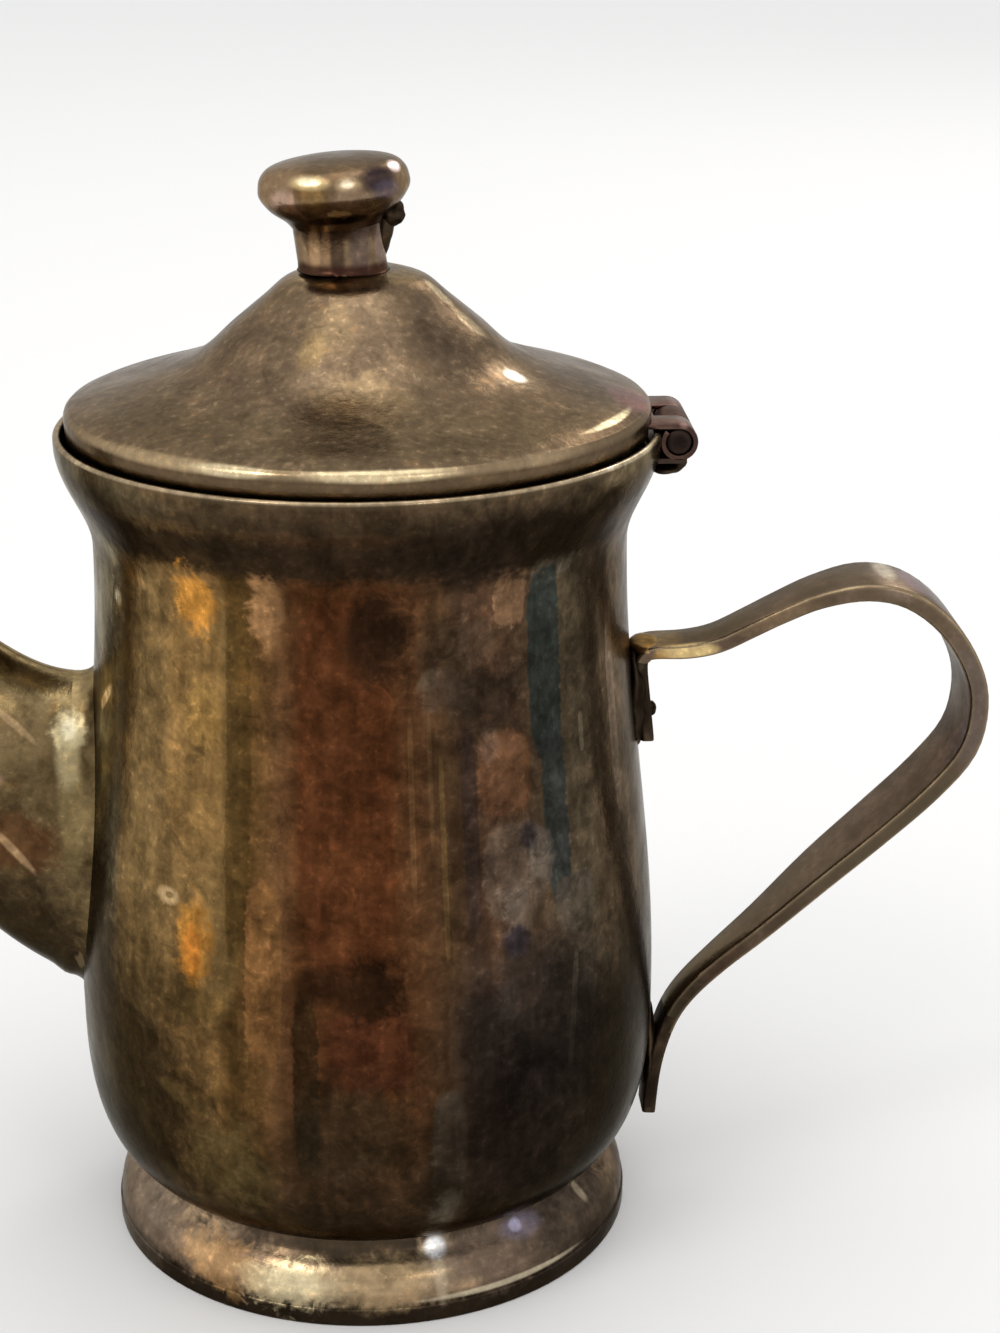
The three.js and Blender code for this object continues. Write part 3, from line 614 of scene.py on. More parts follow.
# Each ring of the flare: how far it is above the wall, and how far beyond the tube, in millimetres. The
# last one lies inside the wall.
FLARE_MIDDLE = 49.4 * MM
FLARE_HALF_HEIGHT = 18.7 * MM
FLARE_HALF_WIDTH = 9.7 * MM
last = spout_stations[-1]
flare_rings = [(2.2, 0.1), (1.1, 0.25), (0.5, 0.5), (0.1, 0.9), (-0.25, 1.2)]
for i, (lift, spread) in enumerate(flare_rings):
    grown = (
        last[0], FLARE_MIDDLE, 0, FLARE_HALF_HEIGHT + spread * MM, FLARE_HALF_WIDTH + spread * MM)
    draw_out([last, grown], bpy.ops.mesh.extrude_edges_move)
    last = grown
    spout.vertex_groups.new(name="flare_%d" % i)
    bpy.ops.object.vertex_group_assign()
close_up(spout)
for i, (lift, spread) in enumerate(flare_rings):
    modify(
        spout, "SHRINKWRAP", target=body, wrap_method="PROJECT", use_project_x=True,
        use_positive_direction=True, use_negative_direction=False, offset=lift * MM,
        vertex_group="flare_%d" % i)
modify(spout, "SUBSURF", levels=1, render_levels=1)


def as_it_lies(tree, place):
    """Spots are placed by x, y and z in millimetres."""
    return place


# To the eye the spout is the same brown mirror, with painted shade, nearly black, below where the light
# doesn't reach and at the foot of its flare, a painted lighter top, a painted pale upright highlight
# beside the seam with the body, and two pale scratches.
spout_marks_and_painted_light = [
    ((-42, 0, 32), (19, 30, 24), "2e2417", 0.95),
    ((-42, 0, 28), (18, 30, 12), "1f1a12", 0.95),
    ((-40.5, -8, 50.5), (8, 8, 5), "533621", 0.8),
    ((-38, 0, 67.6), (20, 9, 5), "94805a", 0.75),
    ((-42, -7, 62), (9, 6, 6), "86714f", 0.6),
    ((-33.4, -8, 55.5), (2, 7, 12), "83714c", 0.6),
    ((-33.7, -7, 60.6), (1.9, 5, 5.4), "b5a47c", 0.55),
    ((-33.5, -6, 63.4), (2.6, 5, 2.8), "dccb9e", 0.6),
    ((-33.5, -5.8, 63.6), (1.2, 4, 1.5), "f7ecc8", 0.65),
    ((-39.8, -6.8, 64.5), (4.6, 6, 0.55), "b0946f", 0.6, 42),
    ((-40.4, -8, 49.8), (4.8, 6, 0.7), "a88a66", 0.6, 50),
    ((-42, -8, 58.4), (1.2, 6, 1.4), "8c705c", 0.6),
    ((-32.5, 0, 30.5), (3.4, 14, 3.4), "1b160f", 0.95),
]
spout_plate = tarnished(
    "tarnished_spout_plate_painted_light", ("4a3b24", "66553a", "7f6b47"), as_it_lies, spout_marks_and_painted_light,
    mottle=(0.16, 0.08, 0.06), flecks=0.16, worn="75644a")


def round_edges(piece, width, sharper_than, segments):
    """Rounds every edge that is sharper than an angle in degrees."""
    modify(
        piece, "BEVEL", width=width, segments=segments, limit_method="ANGLE",
        angle_limit=math.radians(sharper_than))


spout_right = spout.copy()
spout_right.data = spout.data.copy()
spout_right.name = "spout_right"
bpy.context.collection.objects.link(spout_right)
for half, away in ((spout, 1), (spout_right, -1)):
    pick(half)
    bpy.ops.object.mode_set(mode="EDIT")
    bpy.ops.mesh.select_all(action="SELECT")
    bpy.ops.mesh.bisect(plane_co=(0, 0, 0), plane_no=(0, away, 0), clear_outer=True)
    bpy.ops.object.mode_set(mode="OBJECT")
    modify(half, "SOLIDIFY", thickness=SPOUT_WALL, offset=1)
    round_edges(half, CUT_EDGE_ROUND, 50, 2)
    bpy.ops.object.shade_smooth_by_angle(angle=math.radians(50))
    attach(half, "pot")
    half.data.materials.append(spout_plate)
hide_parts("spout_left_half")
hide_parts("spout_right_half")

# Handle
# A strap cast in one bar and dressed by hand. Its upper tab is bent down on the wall and its lower tab
# lies on the belly, and both are soldered.
JOINT_HEIGHT = WAIST_HEIGHT - 14.2 * MM
TAB_LENGTH = 10.3 * MM
TAB_THICKNESS = 1.5 * MM
TAB_WIDTH = 6.6 * MM
BEND_RADIUS = 1.6 * MM
SEAT_GAP = 0.3 * MM

# From the joint round the bow to the end of the lower tab: out from the belly, up from the joint, width
# and thickness, in millimetres
handle_line = [
    (3.5, 0.1, 6.6, 1.7), (7, 0.8, 6.6, 1.8), (10.8, 2.6, 6.8, 1.8), (14.2, 4.3, 7.2, 1.8),
    (18.6, 6.2, 8, 1.9), (23.8, 7.3, 9.6, 2.1), (28.6, 6.4, 10.4, 2.2), (33, 3.1, 10.8, 2.2),
    (36.2, -1.9, 10.8, 2.2), (37.25, -6.7, 10.8, 2.3), (36.2, -12.1, 10.8, 2.3),
    (32.3, -17.2, 10.8, 2.2), (26.4, -22.9, 10.4, 2.1), (19.9, -28.9, 9.2, 2.1), (13.3, -35.4, 7, 2),
    (8.4, -39.9, 5.4, 2), (4.8, -43.6, 5, 1.9), (2.6, -46.9, 5, 1.8), (1.2, -50.9, 5, 1.7),
    (0.4, -54.9, 5, 1.7), (0, -59.9, 4.8, 1.6),
]


def tab_out(height):
    """How far from the axis the middle of the upper tab lies at any height."""
    return body_radius(height) + SEAT_GAP + TAB_THICKNESS / 2


tab_foot = JOINT_HEIGHT - TAB_LENGTH
bend_base = JOINT_HEIGHT - BEND_RADIUS
handle_points = []
for height in (tab_foot, (tab_foot + bend_base) / 2, bend_base):
    handle_points.append((tab_out(height), height, TAB_WIDTH, TAB_THICKNESS))
for turned in (math.pi / 4, math.pi / 2):
    handle_points.append((
        tab_out(bend_base) + BEND_RADIUS * (1 - math.cos(turned)),
        bend_base + BEND_RADIUS * math.sin(turned),
        TAB_WIDTH,
        TAB_THICKNESS,
    ))
for out, up, wide, thick in handle_line:
    handle_points.append((BELLY_RADIUS + out * MM, JOINT_HEIGHT + up * MM, wide * MM, thick * MM))
handle_path = smooth_line(handle_points, 4)
handle_stations = []
for i, (x, z, wide, thick) in enumerate(handle_path):
    before = handle_path[max(i - 1, 0)]
    after = handle_path[min(i + 1, len(handle_path) - 1)]
    tilt = math.atan2(after[1] - before[1], before[0] - after[0])
    handle_stations.append((x, z, tilt, thick, wide))

# The strap is drawn straight up from a thin first slice whose four upright edges are rounded
first_x, first_z, first_wide, first_thick = handle_path[0]
handle_stations[0] = (first_x, first_z, math.pi / 2, first_thick, first_wide)
STARTER = 0.4 * MM
STRAP_ROUND = 0.42 * MM
TAB_END_ROUND = 0.3 * MM
bpy.ops.mesh.primitive_cube_add(
    size=1, location=(first_x, 0, first_z - STARTER / 2), scale=(first_thick, first_wide, STARTER))
handle = start_with("handle_strap")


def select_where(piece, test, kind="FACE"):
    """Selects the faces or edges whose middle passes a test."""
    bpy.ops.mesh.select_mode(type=kind)
    bpy.ops.mesh.select_all(action="DESELECT")
    mesh = bmesh.from_edit_mesh(piece.data)
    matrix = piece.matrix_world
    for part in mesh.faces if kind == "FACE" else mesh.edges:
        corners = [matrix @ vert.co for vert in part.verts]
        middle = sum(corners, Vector()) / len(corners)
        if test(middle, corners):
            part.select_set(True)
    mesh.select_flush_mode()
    bmesh.update_edit_mesh(piece.data)


select_where(handle, lambda middle, corners: abs(corners[0].z - corners[1].z) > STARTER / 2, "EDGE")
bpy.ops.mesh.bevel(offset=STRAP_ROUND, segments=3, affect="EDGES")
select_where(handle, lambda middle, corners: min(c.z for c in corners) > first_z - STARTER / 10)
draw_out(handle_stations, bpy.ops.mesh.extrude_region_move)
close_up(handle)
round_edges(handle, TAB_END_ROUND, 60, 3)
bpy.ops.object.shade_smooth_by_angle(angle=math.radians(35))


def lump(name, place, size, uneven, seed, lean=0):
    """
    A blob of solder: a ball pressed to size, leaning towards the handle, and made uneven by clouds that
    the seed shifts. Its size and unevenness are in millimetres.
    """
    bpy.ops.mesh.primitive_ico_sphere_add(
        subdivisions=4, radius=1, location=place, rotation=(0, math.radians(lean), 0),
        scale=[side * MM for side in size])
    blob = start_with(name)
    close_up(blob, 180)
    clouds = bpy.data.textures.new(name + "_unevenness", "CLOUDS")
    clouds.noise_scale = 2 * MM
    clouds.noise_depth = 2
    empty_shift = bpy.data.objects.new(name + "_shift", None)
    empty_shift.location = (seed, seed, seed)
    bpy.context.collection.objects.link(empty_shift)
    bpy.context.view_layer.update()
    modify(
        blob, "DISPLACE", texture=clouds, strength=uneven * MM, mid_level=0.5,
        texture_coords="OBJECT", texture_coords_object=empty_shift)
    bpy.data.objects.remove(empty_shift)
    bpy.data.textures.remove(clouds)
    return blob


upper_middle = (tab_foot + bend_base) / 2
solder_pieces = [
    lump(
        "upper_tab_solder", (body_radius(upper_middle) - 0.1 * MM, 0, upper_middle - 0.3 * MM),
        (1.5, 5.2, 6.6), 1.1, 0.1),
    lump(
        "upper_tab_spur", (tab_out(63 * MM) + 0.75 * MM, -1.2 * MM, 63 * MM),
        (0.8, 1.1, 0.9), 0.9, 0.2),
    lump("lower_tab_solder", (BELLY_RADIUS - 0.1 * MM, 0, 18.6 * MM), (0.9, 3, 6.5), 0.6, 0.3),
]
joint_solder = lump(
    "joint_solder", (32.7 * MM, 0, JOINT_HEIGHT + 0.15 * MM), (2, 3.2, 0.85), 0.4, 0.7)
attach(joint_solder, "pot")

# Soft solder that ran out at the joint: to the eye dull gold-brown, with one brighter corner that is a
# painted highlight
joint_solder.data.materials.append(tarnished(
    "soft_solder_painted_highlight", ("4c3a20", "6b5330", "8a6c3e"), as_it_lies,
    [((33, -2.4, 69.6), (2.4, 2, 1.8), "a9752c", 0.8)], roughness=0.35, flecks=0.15))

# Solder that was never polished: to the eye nearly black, matt and rough
solder_skin = tarnished(
    "blackened_solder", ("1a140e", "2a2118", "403426"), as_it_lies, roughness=0.5,
    worn="54473a")
for piece in solder_pieces:
    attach(piece, "pot")
    piece.data.materials.append(solder_skin)
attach(handle, "pot")
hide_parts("handle")

# The bar is a darker mirror than the body. To the eye it is purplish brown, gold at the joint with a
# painted highlight, with a painted highlight and a violet painted reflection at the top of the bow, and
# painted shade, nearly black, along its near side, inside the bow and down to the lower tab.
handle_marks_and_painted_light = [
    ((40, 1, 72.6), (9, 5, 3), "3a2d1f", 0.85),
    ((35, 0, 71.6), (2.6, 5, 2.6), "6b5330", 0.8),
    ((35.4, -3.4, 69.6), (2.6, 2, 2), "a9752c", 0.8),
    ((37.4, -3.5, 70.6), (4.4, 1.6, 1.6), "d8bc82", 0.9),
    ((47, -4.4, 74.6), (9, 2.2, 4), "6d5844", 0.8),
    ((61.6, -1, 78.3), (4, 7, 2.4), "9a8376", 0.7),
    ((64.4, 1, 77.8), (2.8, 6, 2), "a07c94", 0.7),
    ((60.8, 1.8, 79), (1.9, 5.4, 1.6), "efe2cc", 0.9),
    ((66.2, 0, 75.8), (2.4, 6, 2), "745a6c", 0.5),
    ((71.5, -5, 64), (6, 4, 16), "4a4042", 0.75),
    ((68.5, 0, 65), (3, 6, 9), "2c2420", 0.85),
    ((66, -5.8, 51), (9, 1.8, 9), "211915", 0.9),
    ((57, -5.6, 43.5), (9, 2, 9), "211915", 0.9),
    ((48, -5, 37), (9, 2.2, 9), "211813", 0.9),
    ((40, 0, 29), (12, 10, 14), "33241c", 0.8),
    ((36, 0, 24), (6, 10, 9), "1a140e", 0.9),
]
handle.data.materials.append(tarnished(
    "tarnished_handle_bar_painted_light", ("372a24", "46362f", "57463c"), as_it_lies, handle_marks_and_painted_light,
    roughness=0.26, mottle=(0.12, 0.1, 0.06), flecks=0.12, worn="ad9a7a"))

# The rounded corners carry a painted highlight, a pale line along the bar, with painted shade low down
# and on the outside of the bow
handle.data.materials.append(tarnished(
    "handle_corner_painted_highlight", ("4f4033", "71604c", "927f66"), as_it_lies,
    [((40, 0, 28), (12, 10, 13), "3c2d22", 0.85), ((72, 0, 60), (5, 9, 22), "584a44", 0.8)],
    roughness=0.3, flecks=0.1))
handle.data.materials.append(solder_skin)
UPPER_TAB_REACH = 36 * MM
UPPER_TAB_LOW = 50 * MM
UPPER_TAB_TOP = bend_base + 0.5 * MM
LOWER_TAB_REACH = 36.4 * MM
LOWER_TAB_TOP = 24 * MM
CORNER_PAINTED_HIGHLIGHT = 1
TAB_FINISH = 2

# The faces that lean between the strap's broad sides and its narrow ones are its rounded corners, which
# carry the painted highlight
for face in handle.data.polygons:
    middle = face.center
    on_upper_tab = middle.x < UPPER_TAB_REACH and UPPER_TAB_LOW < middle.z < UPPER_TAB_TOP
    on_lower_tab = middle.x < LOWER_TAB_REACH and middle.z < LOWER_TAB_TOP
    on_corner = 0.35 < abs(face.normal.y) < 0.93
    if on_upper_tab or on_lower_tab:
        face.material_index = TAB_FINISH
    elif on_corner:
        face.material_index = CORNER_PAINTED_HIGHLIGHT

# Hinge
# A plate soldered under the notch carries the middle knuckle, and a strap under the lid's edge rolls
# down into the two end knuckles. Both are bent up from sheet, and a riveted pin runs through them.
HINGE_AXIS = Vector(frame["joints"][0]["pos_m"])
STRAP_LOW, STRAP_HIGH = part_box("hinge_strap")
HINGE_HALF = STRAP_HIGH.y
KNUCKLE_RADIUS = STRAP_HIGH.z - HINGE_AXIS.z
SHEET = 0.6 * MM
SHEET_ROUND = 0.12 * MM
MIDDLE_HALF = 2.3 * MM
HINGE_GAP = 0.3 * MM


def knuckle_line(start, end, steps=28):
    """The outside of a rolled knuckle, from one angle to another round the hinge's axis."""
    return arc(HINGE_AXIS.x, HINGE_AXIS.z, KNUCKLE_RADIUS, start, end, steps)


def bend_sheet(name, flat, tongues, wall_side):
    """A flat strip, from one x to another, whose far edge runs on in tongues bent along lines."""
    low_x, high_x, height, half = flat
    bpy.ops.mesh.primitive_plane_add(
        size=1, location=((low_x + high_x) / 2, 0, height))
    strip = start_with(name)
    bpy.ops.mesh.select_all(action="SELECT")
    bpy.ops.transform.resize(
        value=(high_x - low_x, 2 * half, 1), center_override=((low_x + high_x) / 2, 0, height))
    for cut in sorted({abs(y) for tongue in tongues for y in tongue[:2]} - {half}):
        for side in (-cut, cut):
            bpy.ops.mesh.select_all(action="SELECT")
            bpy.ops.mesh.bisect(plane_co=(0, side, 0), plane_no=(0, 1, 0))
    for low_y, high_y, line in tongues:
        select_where(
            strip,
            lambda middle, corners: min(c.x for c in corners) > high_x - 0.01 * MM
            and max(c.z for c in corners) < height + 0.01 * MM
            and low_y < middle.y < high_y,
            "EDGE")
        x, z = high_x, height
        for next_x, next_z in line:
            bpy.ops.mesh.extrude_edges_move()
            bpy.ops.transform.translate(value=(next_x - x, 0, next_z - z))
            x, z = next_x, next_z
    close_up(strip)
    modify(strip, "SOLIDIFY", thickness=SHEET, offset=wall_side, use_even_offset=True)
    round_edges(strip, SHEET_ROUND, 50, 3)
    bpy.ops.object.shade_smooth_by_angle(angle=math.radians(35))
    return strip


# The knuckles roll from where the sheet meets them round to a free end that almost touches it again
ear_inner = MIDDLE_HALF + HINGE_GAP
ear_line = [(HINGE_AXIS.x, STRAP_HIGH.z)] + knuckle_line(90, -222)[1:]
hinge_strap = bend_sheet(
    "hinge_strap_rolled",
    (STRAP_LOW.x, HINGE_AXIS.x - KNUCKLE_RADIUS - HINGE_GAP, STRAP_HIGH.z, HINGE_HALF),
    [(-HINGE_HALF, -ear_inner, ear_line), (ear_inner, HINGE_HALF, ear_line)], -1)
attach(hinge_strap, "lid")
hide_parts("hinge_strap")

# Thin plate worn through to the copper-coloured metal: to the eye pinkish brown, with painted shade at
# the knuckles and in the open end of the near knuckle, and a painted highlight along its top
hinge_strap.data.materials.append(tarnished(
    "rubbed_hinge_strap_painted_light", ("5f4841", "775b52", "8b6d64"), as_it_lies,
    [((38.4, 0, 96.4), (2.6, 30, 4), "3a2d28", 0.85), ((35.3, -7, 96.2), (6, 0.6, 6), "33261f", 0.9),
     ((35.8, 0, 99), (0.9, 30, 1.6), "a98880", 0.7)],
    mottle=(0.12, 0.1, 0.06), flecks=0.12, worn="6d544b"))

PLATE_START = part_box("hinge_bracket")[0].x
PLATE_END = HINGE_AXIS.x + 0.9 * MM
hinge_plate = bend_sheet(
    "hinge_plate",
    (PLATE_START, PLATE_END, PLATE_TOP, HINGE_HALF),
    [(-MIDDLE_HALF, MIDDLE_HALF, knuckle_line(-62, 225))], -1)
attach(hinge_plate, "pot")
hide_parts("hinge_bracket")

# The plate is in the shade of the lid and was never rubbed: to the eye dull dark brown
hinge_plate.data.materials.append(tarnished(
    "dull_hinge_plate", ("30251f", "43352d", "57473d"), as_it_lies,
    [((35.3, 0, 98.6), (4, 30, 2.4), "6d534a", 0.85)], roughness=0.4, worn="3a2f29"))


def seat(piece, move, tilt):
    """Moves and turns a finished piece, and leaves its place in its mesh."""
    piece.location = move
    piece.rotation_euler = tilt
    pick(piece)
    bpy.ops.object.transform_apply(location=True, rotation=True, scale=True)


# Half of the pin from its middle outwards: a plain rod whose end is riveted over into a low head
pin_radius = KNUCKLE_RADIUS - SHEET - HINGE_GAP
head_radius = pin_radius + 0.22 * MM
head_start = HINGE_HALF - 0.7 * MM
pin_half = [
    (head_radius * 0.5, HINGE_HALF), (head_radius * 0.85, HINGE_HALF - 0.08 * MM),
    (head_radius, HINGE_HALF - 0.3 * MM), (head_radius, head_start),
    (pin_radius, head_start - 0.2 * MM),
]
pin_profile = [(0, HINGE_HALF)] + pin_half + [(r, -y) for r, y in pin_half[::-1]] + [(0, -HINGE_HALF)]
hinge_pin = turn("hinge_pin_riveted", pin_profile, 40)
seat(hinge_pin, HINGE_AXIS, (math.pi / 2, 0, 0))
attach(hinge_pin, "pot")
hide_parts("hinge_pin")

# Steel wire browned by rust: to the eye a dull black-brown dot in the knuckle
hinge_pin.data.materials.append(tarnished(
    "browned_steel", ("1a1411", "271e1a", "382d27"), as_it_lies, roughness=0.5,
    flecks=0.1, worn="4a3d36"))
hinge_solder = lump(
    "hinge_solder", (LIP_RADIUS + 0.1 * MM, 0, PLATE_TOP - 1.05 * MM), (2.8, 6.5, 0.9), 0.4, 0.5)
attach(hinge_solder, "pot")
hinge_solder.data.materials.append(solder_skin)

# Lid
# Spun from plated sheet into a wide brim that sweeps up into a small dome, with its edge turned down.
# Tarnish has settled in the hollow of the sweep, and painted highlights lie on the edge and the dome.
LID_LOW, LID_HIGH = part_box("lid_shell")
LID_RADIUS = LID_HIGH.y
LID_WALL = 0.8 * MM
CROWN_HEIGHT = LID_HIGH.z
sweep = [
    (LID_RADIUS - inset * MM, LID_LOW.z + rise * MM)
    for inset, rise in ((0.5, 1.5), (2.7, 2.4), (7.7, 3.9), (14.4, 6.4))]
sweep += [
    (radius * MM, LID_LOW.z + rise * MM)
    for radius, rise in ((13.9, 10.1), (10.4, 13), (7.9, 15.1))]
KNOB_SEAT = CROWN_HEIGHT + 0.7 * MM
sweep.append((5.2 * MM, KNOB_SEAT))

# The edge is turned down to just below the rim's top, and the wall proper starts above its turn
edge_low = RIM_HEIGHT - 0.4 * MM
EDGE_POINTS = 4
lid_edge = [
    (LID_RADIUS - 0.35 * MM, edge_low), (LID_RADIUS - 0.18 * MM, edge_low + 0.06 * MM),
    (LID_RADIUS - 0.12 * MM, edge_low + 0.25 * MM), (LID_RADIUS, LID_LOW.z + 0.4 * MM),
    (LID_RADIUS, LID_LOW.z + 0.7 * MM), (LID_RADIUS - 0.15 * MM, LID_LOW.z + 1.15 * MM),
]
lid_upper = lid_edge + smooth_line(sweep, 8)
lid_inside = wall_inside(lid_upper[EDGE_POINTS:], LID_WALL)
lid_profile = [(0, KNOB_SEAT)] + lid_upper[::-1] + [
    (LID_RADIUS - LID_WALL, edge_low)] + lid_inside + [(0, CROWN_HEIGHT - LID_WALL)]
lid = turn("lid", lid_profile)

# The turned edge is cut away over the hinge strap
EDGE_CUT = 10 * MM
bpy.ops.mesh.primitive_cube_add(
    size=1, location=(LID_RADIUS, 0, LID_LOW.z - EDGE_CUT / 2),
    scale=(EDGE_CUT, 2 * HINGE_HALF + 2 * HINGE_GAP, EDGE_CUT))
cut_away(lid, bpy.context.object)
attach(lid, "lid")
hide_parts("lid_shell")

# To the eye the lid is soft grey-brown with a silky sheen, with painted highlights, gold, where its
# sweep turns up and on the right of its dome, painted shade on the right of its dome, a painted
# highlight line along its shoulder and one painted white glint.
lid_marks_and_painted_light = [
    ((-14, 12.5, 111), (18, 5, 6), "8d7657", 0.6),
    ((-20, 14.5, 109), (8, 3, 4), "a1865a", 0.5),
    ((-34, 5.5, 114.4), (12, 2, 2), "d8c6a0", 0.7),
    ((-31, 5.6, 114.3), (10, 1.4, 1.4), "f0e2c4", 0.8),
    ((54, 13, 109.5), (36, 9, 12), "544639", 0.7),
    ((72, 9, 112), (8, 3, 3), "c9b694", 0.7),
    ((70, 13, 109.5), (7, 3, 4), "b5a182", 0.7),
    ((0, 27, 101.5), (90, 8, 5), "65563f", 0.5),
    ((2, 19.6, 105), (20, 6, 5), "b0946e", 0.6),
    ((0, 6, 114.6), (900, 2.2, 1.4), "9c8664", 0.5),
    ((-54, 27, 101.5), (18, 6, 5), "5f503c", 0.5),
    # The edge: a painted highlight line along its shoulder, and painted shade, brown, below it
    ((0, 32.8, 98.4), (900, 1.6, 1.2), "4d3d2c", 0.9),
    ((0, 32.6, 97.4), (900, 1.6, 1.3), "3a2b1c", 0.9),
    ((-38, 32.6, 100.1), (30, 1.3, 1.2), "a8916e", 0.8),
    ((-24, 32.6, 99.9), (10, 1, 1), "e6d3ab", 0.8),
    ((4, 32.6, 99.8), (18, 1, 1), "dcc8a0", 0.85),
    ((36, 32.4, 99.8), (16, 1.1, 1), "8e7a5f", 0.7),
    ((60, 19.6, 104.4), (12, 3.4, 4), "97836a", 0.6),
    ((61, 19.4, 104.6), (5, 1.6, 2.6), "fff6e4", 0.95),
    ((64, 31.8, 99.8), (26, 2.2, 2.2), "4b3d30", 0.9),
    ((62, 30.9, 100.9), (15, 0.7, 0.8), "e2cfa8", 0.9),
    ((60, 32.7, 98.9), (26, 1.9, 2), "4a3c30", 0.9),
    ((82, 31, 100.8), (12, 4, 4), "866360", 0.9),
    ((78, 25, 102), (20, 6, 5), "5a4e42", 0.6),
]
lid.data.materials.append(tarnished(
    "tarnished_lid_plate_painted_light", ("6a5846", "73604b", "806b53"), round_the_axis, lid_marks_and_painted_light,
    mottle=(0.12, 0.12, 0.05), grain=(0.15, 0.15, 1), flecks=0.15))

# Collar
# A short ring of silver-plated sheet, bent round and soldered inside the lid. It drops into the mouth
# and keeps the lid centred, and its lower edge is turned in a little so that it finds its way.
COLLAR_LOW, COLLAR_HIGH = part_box("lid_collar")
collar_outer = COLLAR_HIGH.y
collar_wall = 0.8 * MM
turn_in = 0.35 * MM
collar_profile = [
    (collar_outer, COLLAR_HIGH.z), (collar_outer, COLLAR_LOW.z + turn_in),
    (collar_outer - turn_in, COLLAR_LOW.z), (collar_outer - collar_wall, COLLAR_LOW.z),
    (collar_outer - collar_wall, COLLAR_HIGH.z),
]
collar = turn("collar", collar_profile + collar_profile[:1])
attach(collar, "lid")
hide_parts("lid_collar")

# The inside is not polished, and its plate is painted dark as shade under the lid: to the eye even,
# dull, dark brown
collar.data.materials.append(tarnished(
    "dark_collar_painted_shade", ("33281b", "4a3c2a", "5f4f38"), as_it_lies, roughness=0.45,
    worn="6b5a42"))

# Knob
# Turned from solid metal and plated: a waisted neck under a rounded head with a nearly flat top.
# It leans a little on its seat, and a run of solder has dried under one side of the head.
KNOB_PLACE = (-1.4 * MM, 0, CROWN_HEIGHT)
KNOB_LEAN = (0, math.radians(-5), 0)

# Its profile from the socket for the stud round the neck to the head, up from the knob's own foot
SOCKET_TOP = 9.9 * MM
BORE_RADIUS = 1.55 * MM
STEM_RADIUS = 4.85 * MM
knob_bore = [(0, SOCKET_TOP), (BORE_RADIUS, SOCKET_TOP), (BORE_RADIUS, 0)]
knob_stem = [(STEM_RADIUS + flare * MM, height * MM) for flare, height in (
    (0.25, 0), (0.22, 0.7), (0.05, 1.2), (0, 2))]
KNOB_HEIGHT = 13.25 * MM
knob_head = [(r * MM, z * MM) for r, z in (
    (5, 5.7), (5.7, 6.6), (7.2, 7.8), (8.2, 9.2), (8.3, 10.2), (7.9, 11.5), (6.6, 12.5), (3.4, 13.1))]
knob_head.append((0.5 * MM, KNOB_HEIGHT))
knob_profile = knob_bore + knob_stem + smooth_line(knob_head, 6) + [(0, KNOB_HEIGHT)]
knob = turn("knob_turned", knob_profile, 96)
seat(knob, KNOB_PLACE, KNOB_LEAN)

# The lowest rings of its foot are filed flat onto the seat
knob_foot = KNOB_SEAT + 0.02 * MM
filed_below = KNOB_SEAT + 0.45 * MM
bpy.ops.object.mode_set(mode="EDIT")
select_where(knob, lambda middle, corners: max(c.z for c in corners) < filed_below, "EDGE")
bpy.ops.transform.resize(value=(1, 1, 0), center_override=(0, 0, knob_foot))
bpy.ops.object.mode_set(mode="OBJECT")
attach(knob, "lid")
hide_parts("knob")

# Fingers have rubbed the knob. To the eye it is a warm brown mirror with small painted cream glints and
# one white one, a lighter left side of the head, painted shade, violet, on its right, and painted shade
# under its head and round the foot of its neck.
knob_marks_and_painted_light = [
    ((-1.5, 0, 128), (16, 16, 2.6), "6b5a48", 0.85),
    ((-8.5, -4, 123.5), (5, 7, 5.5), "957a5e", 0.7),
    ((-7.2, -5.8, 122.8), (2.6, 4, 1.8), "ae9180", 0.8),
    ((-4.6, -7.8, 123.6), (2.4, 3, 2), "86693f", 0.7),
    ((-6.1, -7, 124), (0.6, 3, 2.6), "5f4a33", 0.6),
    ((-4.8, -7.1, 125.1), (2.9, 3, 1), "d9bd8a", 0.7),
    ((-4.9, -7.1, 125.2), (1.7, 3, 0.6), "fbe9c2", 0.85),
    ((-0.7, -7.6, 124.9), (1.9, 2.6, 1), "c4aa84", 0.7),
    ((-0.8, -7.6, 125), (1, 2.6, 0.6), "f5e3c4", 0.8),
    ((-0.2, -8, 123.4), (3, 3, 1.6), "86705c", 0.7),
    ((2.6, -6.4, 125.4), (2.6, 4, 1.8), "2f252b", 0.92),
    ((3.2, -5.7, 124.1), (2.3, 3, 1.5), "564c55", 0.75),
    ((4.2, -3.3, 126.3), (1.1, 1.9, 0.9), "ffe6de", 0.95),
    ((5, -4, 122.4), (3, 4, 1.8), "6f5d50", 0.7),
    ((-1.2, 0, 120.4), (16, 16, 2.6), "392c23", 0.9),
    ((-4.5, -3.6, 117.2), (0.9, 4, 4), "ab8b67", 0.85),
    ((-3.2, -4.4, 117.2), (0.7, 3, 4), "8f7154", 0.85),
    ((-2, -5, 117.2), (1.1, 3, 5), "3d2f26", 0.85),
    ((0.4, -4.6, 117.2), (1.5, 4, 5), "63534a", 0.8),
    ((2.9, -3, 118), (1, 4, 4), "84716a", 0.8),
    ((-1.4, 0, 114.9), (16, 16, 1.3), "38201a", 0.9),
]
knob.data.materials.append(tarnished(
    "rubbed_knob_plate_painted_light", ("5f4d3b", "79644d", "8d765a"), as_it_lies, knob_marks_and_painted_light,
    mottle=(0.1, 0.08, 0.06), flecks=0.12))
